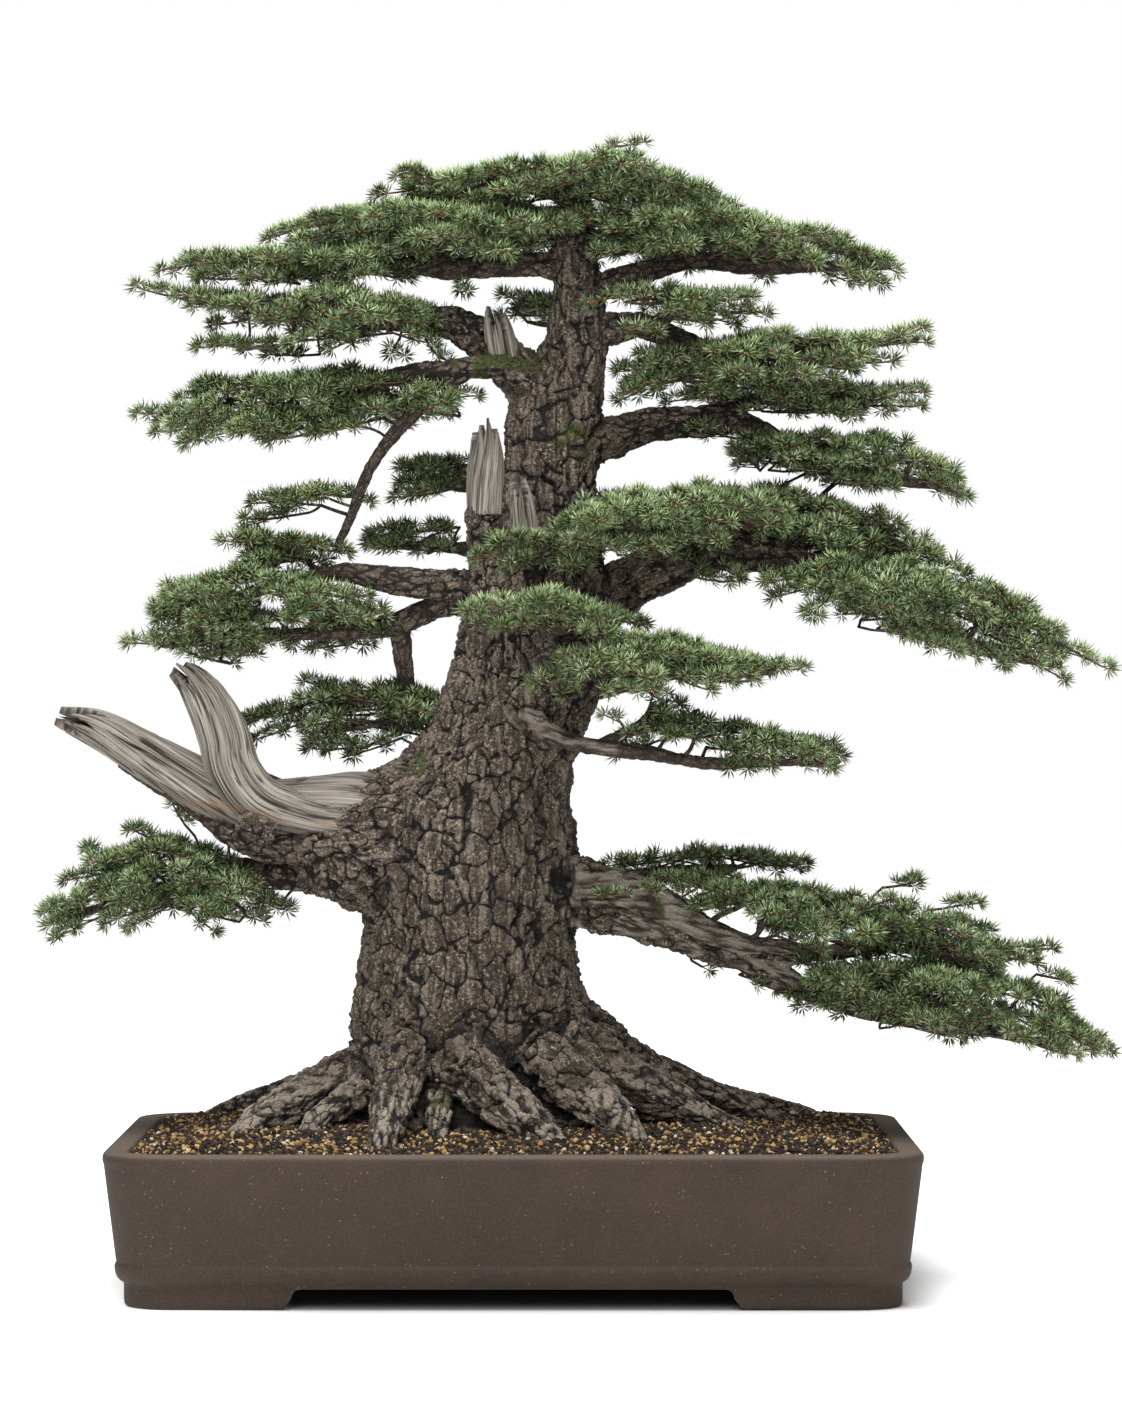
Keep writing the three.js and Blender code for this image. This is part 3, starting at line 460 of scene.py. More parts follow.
def soften(values, table, rounds, push=0.5, pull=0.0):
    """Moves each value towards its neighbours' mean by push, and back by pull to keep its size."""
    there, starts, weights, totals = table
    for _ in range(rounds):
        for step in [push, -pull] if pull else [push]:
            mean = np.add.reduceat(values[there] * weights, starts, axis=0) / totals
            values = values + step * (mean - values)
    return values


def unit(vectors):
    return vectors / np.maximum(np.linalg.norm(vectors, axis=-1, keepdims=True), 1e-9)


def points_of(mesh):
    values = np.empty(len(mesh.vertices) * 3, np.float32)
    mesh.vertices.foreach_get("co", values)
    return values.reshape(-1, 3).astype(float)


def normals_of(mesh):
    values = np.empty(len(mesh.vertices) * 3, np.float32)
    mesh.vertex_normals.foreach_get("vector", values)
    return values.reshape(-1, 3).astype(float)


def move_points(mesh, points):
    mesh.vertices.foreach_set("co", points.astype(np.float32).ravel())
    mesh.update()


def nearest_index(points, queries):
    tree = KDTree(len(points))
    for index, point in enumerate(points):
        tree.insert(point, index)
    tree.balance()
    return np.array([tree.find(query)[1] for query in queries])


def node_box(node):
    """A CAD node's lowest and highest corner, in millimetres."""
    return [np.array(corner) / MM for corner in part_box(node)]


def node_tree(node):
    """A CAD node's surface, in millimetres, for nearest points and rays."""
    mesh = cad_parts[node].data
    return BVHTree.FromPolygons((points_of(mesh) / MM).tolist(), [tuple(p.vertices) for p in mesh.polygons])


def joined_copy(name, nodes):
    """One mesh, in millimetres, with copies of all these CAD nodes' meshes."""
    points, faces, offset = [], [], 0
    for node in nodes:
        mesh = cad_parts[node].data
        mesh.calc_loop_triangles()
        corners = np.empty(len(mesh.loop_triangles) * 3, np.int32)
        mesh.loop_triangles.foreach_get("vertices", corners)
        points.append(points_of(mesh) / MM)
        faces.append(corners.reshape(-1, 3) + offset)
        offset += len(mesh.vertices)
    return new_mesh(name, np.concatenate(points), np.concatenate(faces))


def spread(values):
    return (values - values.mean()) / values.std()


def wood_flow(mesh):
    """The way the wood runs at each vertex, and long streaks of noise that run that way."""
    normals = normals_of(mesh)
    crossings = np.einsum("ni,nj->nij", normals, normals).reshape(-1, 9)
    crossings = soften(crossings, neighbour_table(mesh), 40, 0.9).reshape(-1, 3, 3)
    direction = np.linalg.eigh(crossings)[1][:, :, 0]
    along = neighbour_table(mesh, direction)
    points = points_of(mesh)
    muscles = spread(soften(wander(points, 19, 4)[:, None], along, 160, 0.9)[:, 0])
    cracks = spread(soften(wander(points, 11, 5)[:, None], along, 60, 0.9)[:, 0])
    return direction, muscles, cracks


def thickness(mesh, points, normals):
    """How thick the wood is under each vertex."""
    inside = BVHTree.FromPolygons(points.tolist(), [tuple(p.vertices) for p in mesh.polygons])
    found = np.full(len(points), 5.0)
    for index, (point, normal) in enumerate(zip(points, normals)):
        hit = inside.ray_cast(Vector(point - normal * 0.6), Vector(-normal))
        if hit[0] is not None:
            found[index] = hit[3]
    return found


def plates(points, direction, size, stretch, seed):
    """Bark plates, longer along the wood than across it: how far inside its plate each point is
    (0 in a crack), and a random number for its plate."""
    table = np.random.default_rng(seed).uniform(0, 1, (RANDOM_CELLS, 4))
    scaled = points / size
    cell = np.floor(scaled).astype(np.int64)
    nearest = np.full(len(points), 99.0)
    second = np.full(len(points), 99.0)
    tone = np.zeros(len(points))
    squeeze = 1 - 1 / stretch ** 2
    for shift in np.ndindex(5, 5, 5):
        at = cell + np.array(shift) - 2
        index = cell_number(at)
        away = at + table[index, :3] - scaled
        along = np.einsum("ni,ni->n", away, direction)
        distance = np.einsum("ni,ni->n", away, away) - squeeze * along ** 2
        closer = distance < nearest
        second = np.where(closer, nearest, np.minimum(second, distance))
        tone = np.where(closer, table[index, 3], tone)
        nearest = np.where(closer, distance, nearest)
    return np.sqrt(second) - np.sqrt(nearest), tone


def ease(values, low, high):
    share = np.clip((values - low) / (high - low), 0, 1)
    return share * share * (3 - 2 * share)


def warped(points, size, amount, seed):
    """The points moved about by noise, so that what is drawn at them has ragged edges."""
    return points + amount * np.stack([wander(points, size, seed + k) for k in range(3)], 1)


def distance_to_path(points, path):
    """How far each point is from a line through the path's points."""
    least = np.full(len(points), 1e9)
    for start, end in zip(np.array(path[:-1], float), np.array(path[1:], float)):
        way = end - start
        share = np.clip((points - start) @ way / way.dot(way), 0, 1)
        least = np.minimum(least, np.linalg.norm(points - start - share[:, None] * way, axis=1))
    return least


def grow_bark(rough, seed, bare_paths=()):
    """A rough body of wood made round and covered in bark: its points, its faces and the values
    that its bark carries."""
    coarse = evaluated(rough, ("REMESH", {"mode": "VOXEL", "voxel_size": COARSE_VOXEL}))
    move_points(coarse, soften(points_of(coarse), neighbour_table(coarse), 8, SMOOTH_PUSH, SMOOTH_PULL))
    coarse_points = points_of(coarse)
    coarse_thick = thickness(coarse, coarse_points, normals_of(coarse))
    coarse_thick = soften(coarse_thick[:, None], neighbour_table(coarse), 12)
    flow, muscle, crack = wood_flow(coarse)
    # How far each point is sunk below the smoothed surface: the deeper it lies, the darker its painted
    # shade.
    sunk = soften(coarse_points, neighbour_table(coarse), 60) - coarse_points
    sunk = np.einsum("ni,ni->n", sunk, normals_of(coarse))
    told = np.column_stack([coarse_thick, muscle, crack, sunk])

    fine = evaluated(rough, ("REMESH", {"mode": "VOXEL", "voxel_size": WOOD_VOXEL}))
    table = neighbour_table(fine)
    points = soften(points_of(fine), table, 24, SMOOTH_PUSH, SMOOTH_PULL)
    near = nearest_index(coarse_points, points)
    direction = flow[near]
    thick, muscle, crack, sunk = soften(told[near], table, 5).T
    move_points(fine, points)
    normals = normals_of(fine)

    # The old trunk has long muscles that run down into its roots. Limbs are a little knobbly.
    heavy = ease(thick, *OLD_WOOD)
    knobs = wander(points, KNOB_SIZE, 3)
    form = heavy * (np.tanh(muscle) * MUSCLE_DEPTH + knobs * 1.5)
    form += (1 - heavy) * knobs * np.minimum(thick * 0.10, 2.4)
    points = points + normals * form[:, None]

    # Plates are large on old wood and small on young limbs.
    place = warped(points, 6.5, 2.8, 50)
    inside_large, tone_large = plates(place, direction, PLATE_SIZE, PLATE_STRETCH, seed)
    place = warped(points, 3.5, 1.3, 60)
    inside_small, tone_small = plates(place, direction, TWIG_PLATE_SIZE, TWIG_PLATE_STRETCH, seed + 1)
    large = ease(thick, *LARGE_PLATED_WOOD)
    ragged = wander(points, 3.2, 8)
    fibre = spread(soften(wander(points, 1.7, 12)[:, None], neighbour_table(fine, direction), 26, 0.9)[:, 0])

    # Where the bark is gone, along these paths, the grey wood's fibres show.
    bare = np.zeros(len(points))
    for width, path in bare_paths:
        shown = normals @ np.array([0.0, -0.5, 0.87]) + wander(points, 16, 14) * 0.35
        reach = distance_to_path(points, path) + wander(points, 12, 15) * width * 0.2
        bare = np.maximum(bare, ease(shown, 0.0, 0.12) * (1 - ease(reach, width - 3, width)))

    # Long fissures run between the plates, whose faces break into flat scales.
    fissure = np.exp(-(crack / 0.10) ** 2) * ease(wander(points, 34, 9), -0.35, 0.15)
    gap_large = ease(inside_large + ragged * 0.04, 0.0, 0.11) * (1 - 0.85 * fissure)
    gap_small = ease(inside_small + ragged * 0.05, 0.03, 0.26)
    scales = np.floor(inside_large * 7 + ragged * 0.7 + tone_small * 1.4) / 7
    raised = large * gap_large * (0.52 + 0.55 * scales + 0.30 * gap_small) + (1 - large) * gap_small
    tone = large * (0.7 * tone_large + 0.3 * tone_small) + (1 - large) * tone_small
    raised = raised * (1 - bare) + bare * (0.5 + 0.22 * fibre)
    relief = np.minimum(PLATE_RELIEF, thick * 0.06)
    height = relief * (raised * (0.8 + 0.4 * tone) - 0.72 - 1.3 * fissure * large)
    height += relief * (0.2 * ragged * (1 - bare) + 0.09 * fibre + 0.13 * wander(points, 1.7, 10))
    points = points + normals * height[:, None]
    move_points(fine, points)

    corners = np.empty(len(fine.loops), np.int32)
    fine.loops.foreach_get("vertex_index", corners)
    young = (1 - ease(thick, *YOUNG_WOOD)) * ease(points[:, 2], *LOWEST_YOUNG_WOOD)
    # Low faces that turn up are marked for paler bark: partly the roots' own paler bark, partly painted
    # light from above.
    root = (1 - ease(points[:, 2], *ROOT_TOP)) * ease(fibre + 0.6 * normals[:, 2], -0.5, 0.8)
    carried = {"plate": raised, "tone": tone, "young": young, "upward": normals[:, 2],
               "fibre": 0.5 + 0.25 * np.tanh(fibre), "bare": bare, "painted_hollow_shade": ease(sunk, 0.4, 2.6),
               "root": root}
    return points, corners.reshape(-1, 4), carried


bark, shade, inputs = new_material("bark", 0.9)
plate_height = shade.carried("plate")
fine = shade.noise(0.0020, 6.0, 0.7)
fibre = shade.noise(0.0011, 3.0, 0.6)
patches = shade.noise(0.035, 3.0)
shaken = shade.node("TexNoise", None, {"Vector": shade.place(), "Scale": 260.0}, 1)
shaken = shade.node("VectorMath", {"operation": "SCALE"}, {0: shaken, "Scale": 0.0035})
shaken = shade.node("VectorMath", {"operation": "ADD"}, {0: shade.place(), 1: shaken})
flakes = shade.node("TexVoronoi", {"feature": "DISTANCE_TO_EDGE"}, {"Vector": shaken, "Scale": 210.0})
face = shade.carried("tone").ramp((0.0, "2d241a"), (0.4, "3e3225"), (0.75, "524432"), (1.0, "695a45"))
face = (fine.above(0.47, 0.64) * 0.9).blend(face, "b3a793")
face = (1 - fine.above(0.36, 0.48)).blend(face, "352b24")
face = (1 - flakes.above(0.0, 0.09)).blend(face, "352c26")
streaks = shade.carried("fibre")
face = (streaks.above(0.52, 0.68) * 0.45).blend(face, "8f8375")
face = ((1 - streaks.above(0.32, 0.46)) * 0.6).blend(face, "3a3028")
face = (patches.above(0.45, 0.7) * 0.4).blend(face, "45382d")
# The roots' upward faces turn paler: partly their own paler bark, partly a painted highlight from the light
# above.
root = shade.carried("root")
face = (root * 0.65).blend(face, "aca190")
skin = (plate_height + root * 0.2).above(0.1, 0.6).blend("0b0907", face)
# Painted shade: hollows between the roots and in the forks are darkened to near black.
skin = (shade.carried("painted_hollow_shade") * 0.85).blend(skin, "0b0908")
skin = (shade.carried("young") * 0.6).blend(skin, "43362e")
stripped = streaks.ramp((0.25, "2b241e"), (0.4, "584e44"), (0.55, "7d7368"), (0.75, "988f84"))
skin = shade.carried("bare").blend(skin, stripped)
mossy = fine.above(0.35, 0.65).blend("2c3519", "59602f")
skin = shade.carried("moss").blend(skin, mossy)
feed(inputs["Base Color"], skin)
feed(inputs["Normal"], shade.bump(fine + fibre * 0.5 + flakes.above(0.0, 0.15) * 0.5, 0.0019, 0.9))


def share_out(points, faces, carried, nodes):
    """Makes one piece for each CAD node, from the faces that lie nearest to it."""
    middles = points[faces].mean(axis=1)
    least = np.full(len(faces), 99.0)
    owner = np.zeros(len(faces), int)
    for index, node in enumerate(nodes):
        tree = node_tree(node)
        low, high = node_box(node)
        for face in np.where(((middles > low - 5) & (middles < high + 5)).all(axis=1))[0]:
            away = tree.find_nearest(Vector(middles[face]), 20)[3]
            if away is not None and away < least[face]:
                least[face] = away
                owner[face] = index
    for index, node in enumerate(nodes):
        kept, renumbered = np.unique(faces[owner == index], return_inverse=True)
        mesh = new_mesh(node + "_bark", points[kept] * MM, renumbered.reshape(-1, 4))
        carry(mesh, {name: values[kept] for name, values in carried.items()})
        add_piece(node + "_bark", mesh, [bark], [node])


live_nodes = ["trunk"] + sorted(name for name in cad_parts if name.startswith("branch_"))
middle_x = pot_middle.x / MM

# Where the live branches' bark is worn away: how wide, and along which points.
bared = [(29, [(54, -14, 276), (90, -22, 264), (132, -30, 249), (157, -34, 239), (222, -33, 238)]),
         (12, [(12, -58, 402), (34, -61, 390), (66, -62, 383)])]
bare_paths = [(width, [(x + middle_x, y, z) for x, y, z in path]) for width, path in bared]
wood_points, wood_faces, wood_values = grow_bark(joined_copy("live_wood", live_nodes), 21, bare_paths)

# Where moss grows: a point (x from the pot's middle, y, height) and how far it reaches.
moss_places = [(-3, -22, 668, 40), (-30, -25, 650, 34), (40, -18, 600, 34), (-70, -30, 372, 26),
               (-88, -22, 352, 22), (-48, -88, 132, 20), (22, -92, 132, 22), (104, -40, 262, 20)]
moss = np.zeros(len(wood_points))
for x, y, z, reach in moss_places:
    away = np.linalg.norm(wood_points - (x + middle_x, y, z), axis=1)
    moss = np.maximum(moss, 1 - ease(away, 0, reach))
moss = ease(moss + wander(wood_points, 8, 31) * 0.5 + wood_values.pop("upward") * 0.15, 0.55, 0.8)
wood_values["moss"] = moss * 0.9
share_out(wood_points, wood_faces, wood_values, live_nodes)

# ---------------------------------------------------------------------------
# The dead branches: bare wood, bleached silver by years of sun, split along
# its grain and torn to ragged points where the ends broke off. The large one
# still has a strip of live bark along its underside.
# ---------------------------------------------------------------------------
PATH_SPACING = 2.0
RING_SPACING = 1.1
STRANDS = 7
LONG_TEAR = 23
SHORT_TEAR = 18
LIMB_SIDES = 190
STRIP_SIDES = 24

silver_wood, shade, inputs = new_material("silver_wood", 0.75)
grain = shade.carried("grain")
fibre = shade.noise(0.0012, 4.0, 0.7)
pale = grain.ramp((0.0, "15110e"), (0.25, "3f3831"), (0.5, "6e675e"), (0.75, "8f887e"), (1.0, "ada79d"))
pale = (fibre.above(0.48, 0.75) * 0.4).blend(pale, "696159")
pale = (shade.carried("amber") * fibre.above(0.4, 0.6)).blend(pale, "84602c")
feed(inputs["Base Color"], pale)
feed(inputs["Normal"], shade.bump(fibre + grain, 0.0009, 0.8))

# Each dead branch's limbs as stations (x from the pot's middle, y, height, radius).
dead_limbs = {
    "dead_branch_left": [
        [(-84, -10, 342, 22), (-118, -10, 343, 23.5), (-150, -10, 340, 24), (-186, -8, 339, 22),
         (-216, -8, 350, 20.5), (-245, -10, 366, 18), (-272, -12, 382, 16), (-300, -14, 398, 13.5),
         (-329, -15, 407, 7)],
        [(-90, -18, 332, 14), (-122, -20, 333, 16), (-152, -22, 336, 18), (-182, -24, 345, 20),
         (-200, -22, 366, 20), (-207, -19, 390, 18.5), (-216, -17, 411, 16.5), (-229, -16, 430, 13),
         (-248, -15, 447, 7)],
    ],
    "dead_branch_upright": [
        [(-21, -15, 550, 13), (-21, -15, 577, 13), (-20, -15, 600, 11.5), (-21, -15, 622, 9)],
    ],
    "dead_branch_short": [
        [(10, -28, 500, 10), (8, -33, 532, 10), (5, -34, 557, 8.5), (2, -34, 582, 4)],
    ],
    "dead_branch_top": [
        [(-8, -16, 662, 11), (-12, -18, 680, 10.5), (-15, -17, 692, 8.5), (-17, -15, 702, 4.5)],
    ],
}


def smooth_path(stations, spacing):
    """Points and radii every so often on a smooth curve through the stations."""
    stations = np.asarray(stations, float)
    padded = np.vstack([2 * stations[0] - stations[1], stations, 2 * stations[-1] - stations[-2]])
    path = []
    for i in range(len(stations) - 1):
        a, b, c, d = padded[i:i + 4]
        count = max(2, int(np.linalg.norm(c[:3] - b[:3]) / spacing))
        for t in np.arange(count) / count:
            path.append(0.5 * (2 * b + (c - a) * t + (2 * a - 5 * b + 4 * c - d) * t ** 2
                               + (3 * b - a - 3 * c + d) * t ** 3))
    path.append(stations[-1])
    return np.array(path)


def torn_limb(path, seed, tear, sides=LIMB_SIDES):
    """A bare limb with grooves along its grain and a torn end, as points, faces and grain values."""
    rng = np.random.default_rng(seed)
    lengths = np.concatenate([[0], np.cumsum(np.linalg.norm(np.diff(path[:, :3], axis=0), axis=1))])
    tangents = unit(np.gradient(path[:, :3], axis=0))
    sideways = [np.cross(tangents[0], (0.3, 1.0, 0.2))]
    for tangent in tangents:
        side = sideways[-1] - tangent * sideways[-1].dot(tangent)
        sideways.append(side / np.linalg.norm(side))
    sideways = np.array(sideways[1:])

    angles = np.linspace(0, 2 * np.pi, sides, endpoint=False)
    middles = (np.arange(STRANDS) + rng.uniform(-0.3, 0.3, STRANDS)) * 2 * np.pi / STRANDS
    away = np.abs((angles[:, None] - middles + np.pi) % (2 * np.pi) - np.pi)
    own = away.argmin(axis=1)
    across = away.min(axis=1) * STRANDS / np.pi
    stops = lengths[-1] - tear * (0.8 * rng.uniform(0, 1, STRANDS)[own] + 0.9 * across)
    rings, grains = [], []
    for length in np.arange(0, lengths[-1] + 4, RING_SPACING):
        real = np.minimum(length, stops)
        at = np.array([np.interp(real, lengths, path[:, k]) for k in range(4)]).T
        side = unit(np.array([np.interp(real, lengths, sideways[:, k]) for k in range(3)]).T)
        tangent = np.array([np.interp(real, lengths, tangents[:, k]) for k in range(3)]).T
        other = np.cross(unit(tangent), side)
        turn = angles + real * 0.005
        where = np.column_stack([np.cos(angles) * 2.4, np.sin(angles) * 2.4, real / 90])
        broad = wander(where, 1.0, seed + 1)
        finest = wander(where * (17, 17, 3.0), 1.0, seed + 3)

        # Splits, cracks and hair cracks, each kind finer than the one before.
        lines = []
        for pick, (around, width) in enumerate([(1.5, 0.06), (3.6, 0.10), (9.0, 0.11)]):
            drawn_out = where * (around, around, 0.7 + 0.5 * pick)
            crossing = np.exp(-(wander(drawn_out, 1.0, seed + 4 + pick) / width) ** 2)
            broken = wander(where * (2, 2, 3.0 + pick), 1.0, seed + 14 + pick)
            lines.append(crossing * ease(broken, -0.35, 0.15))
        split, crack, hair = lines
        radius = at[:, 3] * (1 + 0.12 * broad + 0.02 * finest - 0.17 * split - 0.07 * crack - 0.03 * hair)
        radius *= 1 - 0.72 * ease(length - stops, 0, 3.0)
        spoke = np.cos(turn)[:, None] * side + np.sin(turn)[:, None] * other
        rings.append(at[:, :3] + radius[:, None] * spoke)
        shine = np.clip(0.66 + 0.42 * finest + 0.2 * broad, 0.12, 1)
        grains.append(shine * (1 - 0.95 * split) * (1 - 0.7 * crack) * (1 - 0.65 * hair)
                      * (1 - 0.6 * ease(length - stops, 0, 3)))
    points, faces, ends = stacked(rings)
    return points, faces, ends, np.concatenate(grains + [[0.3, 0.3]])


def joined_limbs(made_limbs):
    """Several limbs as one: points, four-cornered faces, three-cornered faces and grain values."""
    points, quads, tris, grains, offset = [], [], [], [], 0
    for made, faces, ends, values in made_limbs:
        points.append(made + (middle_x, 0, 0))
        quads.append(faces + offset)
        tris.append(ends + offset)
        grains.append(values)
        offset += len(made)
    return [np.concatenate(part) for part in (points, quads, tris, grains)]


for seed, (node, limbs) in enumerate(dead_limbs.items()):
    tear = LONG_TEAR if node == "dead_branch_left" else SHORT_TEAR
    points, quads, tris, grains = joined_limbs(
        [torn_limb(smooth_path(stations, PATH_SPACING), 40 + seed * 7 + part, tear)
         for part, stations in enumerate(limbs)])
    mesh = new_mesh(node + "_wood", points * MM, quads, tris)
    # Resin colours the seam between the large dead branch and its strip of live bark.
    seam = np.zeros(len(points))
    if node == "dead_branch_left":
        under = points[:, 2] + (points[:, 0] - middle_x + 118) * 0.16
        seam = ease(wander(points, 14, 60) - np.abs(under - 326) / 7, -0.5, 0.1)
    carry(mesh, {"grain": grains, "amber": seam * 0.75})
    add_piece(node + "_wood", mesh, [silver_wood], [node])

# The strip of live bark that runs out along the large dead branch's underside.
bark_strips = {
    "collar": [(-40, -10, 352, 40), (-70, -12, 344, 36), (-94, -12, 336, 31), (-114, -12, 328, 27),
               (-136, -13, 320, 22)],
    "low_strip": [(-98, -14, 312, 22), (-130, -16, 316, 16), (-160, -16, 315, 14), (-190, -15, 318, 12),
                  (-212, -14, 332, 10), (-236, -12, 345, 7), (-262, -12, 360, 5), (-284, -12, 373, 3)],
    "low_knot": [(-172, -32, 322, 10), (-184, -36, 328, 12), (-196, -33, 333, 9)],
    "back_strip": [(-96, 6, 356, 11), (-130, 8, 352, 7), (-160, 6, 353, 6), (-180, 2, 360, 6),
                   (-188, 0, 370, 4)],
}
strips, seed = [], 90
for stations in bark_strips.values():
    strips.append(torn_limb(smooth_path(stations, PATH_SPACING), seed, 1, STRIP_SIDES))
    seed += len(strips[-1][0])
strip = new_mesh("strip", *joined_limbs(strips)[:3])
strip_points, strip_faces, strip_values = grow_bark(strip, 25)
strip_values["moss"] = strip_values.pop("upward") * 0
mesh = new_mesh("dead_branch_left_bark", strip_points * MM, strip_faces)
carry(mesh, strip_values)
add_piece("dead_branch_left_bark", mesh, [bark])

# ---------------------------------------------------------------------------
# The soil: a mix of dark crushed lava and tan fired clay grains, sieved to a
# few millimetres, heaped a little round the roots.
# ---------------------------------------------------------------------------
GRAIN_TRIES = 30000
GRAIN_SIZES = (2.0, 4.2)
STONE_POINTS = 12
LOWEST_GRAIN = 95

earth, shade, inputs = new_material("earth", 0.95)
crumbs = shade.noise(0.003, 4.0, 0.7)
feed(inputs["Base Color"], crumbs.above(0.4, 0.65).blend("0d0a07", "201811"))
feed(inputs["Normal"], shade.bump(crumbs, 0.002))
earth_mesh = joined_copy("soil_bed", ["soil"])
earth_mesh.transform(Matrix.Scale(MM, 4))
add_piece("soil_bed", earth_mesh, [earth], ["soil"])

grit, shade, inputs = new_material("grit", 0.85)
grain_tone = shade.carried("tint").ramp(
    (0.0, "100c09"), (0.3, "261d16"), (0.45, "47331f"), (0.62, "7d5c33"),
    (0.8, "a8854d"), (0.93, "bfa06a"), (1.0, "d6cfc0"))
feed(inputs["Base Color"], (shade.noise(0.0012).above(0.4, 0.7) * 0.35).blend(grain_tone, "2a2019"))


def stone_shapes(count, seed):
    """Small angular stones about one unit across: points and faces that are the same for all."""
    golden = (1 + 5 ** 0.5) / 2
    base = np.array([(-1, golden, 0), (1, golden, 0), (-1, -golden, 0), (1, -golden, 0), (0, -1, golden),
                     (0, 1, golden), (0, -1, -golden), (0, 1, -golden), (golden, 0, -1), (golden, 0, 1),
                     (-golden, 0, -1), (-golden, 0, 1)], float)
    base /= np.linalg.norm(base[0]) * 2
    faces = np.array([(0, 11, 5), (0, 5, 1), (0, 1, 7), (0, 7, 10), (0, 10, 11), (1, 5, 9), (5, 11, 4),
                      (11, 10, 2), (10, 7, 6), (7, 1, 8), (3, 9, 4), (3, 4, 2), (3, 2, 6), (3, 6, 8),
                      (3, 8, 9), (4, 9, 5), (2, 4, 11), (6, 2, 10), (8, 6, 7), (9, 8, 1)])
    shape_rng = np.random.default_rng(seed)
    squash = shape_rng.uniform(0.65, 1.15, (count, 1, 3))
    return base * squash * shape_rng.uniform(0.75, 1.2, (count, STONE_POINTS, 1)), faces


def repeated(faces, count, points_each):
    """The same faces for each of count small bodies."""
    return (faces[None] + (np.arange(count) * points_each)[:, None, None]).reshape(-1, faces.shape[1])


def random_turns(count, rng):
    """Random rotation matrices."""
    q = rng.normal(size=(count, 4))
    w, x, y, z = (q / np.linalg.norm(q, axis=1)[:, None]).T
    return np.stack([
        np.stack([1 - 2 * (y * y + z * z), 2 * (x * y - z * w), 2 * (x * z + y * w)], 1),
        np.stack([2 * (x * y + z * w), 1 - 2 * (x * x + z * z), 2 * (y * z - x * w)], 1),
        np.stack([2 * (x * z - y * w), 2 * (y * z + x * w), 1 - 2 * (x * x + y * y)], 1)], 1)


def strip_map(mesh, along, across):
    """Lays each small thing out in a strip of the bake's map: along it, and by its own tint across."""
    layer = mesh.uv_layers.new(name="OFBake")
    corners = np.empty(len(mesh.loops), np.int32)
    mesh.loops.foreach_get("vertex_index", corners)
    flat = np.column_stack([along, across])[corners]
    layer.data.foreach_set("uv", flat.astype(np.float32).ravel())


soil_low, soil_high = node_box("soil")
rng = np.random.default_rng(77)
soil_ground = node_tree("soil")
trunk_shell = node_tree("trunk")
grains = []
for x, y in rng.uniform(soil_low[:2], soil_high[:2], (GRAIN_TRIES, 2)):
    hit = soil_ground.ray_cast(Vector((x, y, 300)), Vector((0, 0, -1)))
    if hit[0] is not None and hit[0].z > LOWEST_GRAIN and trunk_shell.find_nearest(hit[0], 2)[0] is None:
        grains.append(hit[0])
grains = np.array(grains)
sizes = rng.uniform(*GRAIN_SIZES, len(grains)) * rng.choice([0.7, 1.0, 1.0, 1.25], len(grains))
shapes, stone_faces = stone_shapes(len(grains), 78)
placed = np.einsum("nij,nkj->nki", random_turns(len(grains), rng), shapes * sizes[:, None, None])
lift = np.column_stack([np.zeros((len(grains), 2)), rng.uniform(-0.8, 1.5, len(grains))])
placed += (grains + lift)[:, None, :]
grit_faces = repeated(stone_faces, len(grains), STONE_POINTS)
grit_mesh = new_mesh("soil_grit", placed.reshape(-1, 3) * MM, grit_faces)
grit_mesh.shade_flat()
# Most grains are dark lava, some are brown, and some are tan or pale clay.
classes = rng.choice([0.12, 0.35, 0.5, 0.72, 0.87, 0.99], len(grains), p=[0.47, 0.2, 0.08, 0.12, 0.10, 0.03])
tints = np.repeat(np.clip(classes + rng.normal(0, 0.04, len(grains)), 0.01, 0.99), STONE_POINTS)
carry(grit_mesh, {"tint": tints})
strip_map(grit_mesh, np.tile(np.linspace(0, 1, STONE_POINTS), len(grains)), tints)
add_piece("soil_grit", grit_mesh, [grit])

# ---------------------------------------------------------------------------
# The foliage: every pad is layers of flat sprays, each a young twig with side
# shoots to left and right. The shoots bear short spurs with a rosette of stiff
# needles round an orange-brown bud. Older twigs join the sprays to the branch.
# ---------------------------------------------------------------------------
SPRAY_SPACING = 27.0
JOINT_SPACING = 10.5
LAYER_SPACING = 12.5
NEEDLE_LENGTH = 8.6
NEEDLE_WIDTH = 1.25
NEEDLES = 23
GOLDEN_ANGLE = 2.399963
BUD_SIZE = 1.9
BUD_SHARE = 0.75
SPRAY_SHARE = 0.93
EDGE_SHARE = 0.62
INNER_SHARE = 0.35
SLOPE_REACH = 16
TWIG_SIDES = 5

needle_green, shade, inputs = new_material("needle_green", 0.6)
inputs["Specular IOR Level"].default_value = 0.35
fresh = shade.carried("tint").ramp((0.0, "242d19"), (0.35, "4e5f38"), (0.7, "7f9460"), (1.0, "bbc99d"))
feed(inputs["Base Color"], shade.carried("along").above(0.0, 0.4).blend("3f4a2a", fresh))

twig_bark, shade, inputs = new_material("twig_bark", 0.85)
rough = shade.noise(0.004).above(0.4, 0.65).blend("2a211c", "51433a")
feed(inputs["Base Color"], shade.carried("shoot").blend(rough, "7a5638"))
bud_scale, shade, inputs = new_material("bud_scale", 0.7)
feed(inputs["Base Color"], shade.noise(0.002).above(0.4, 0.65).blend("8a5a33", "c08a58"))


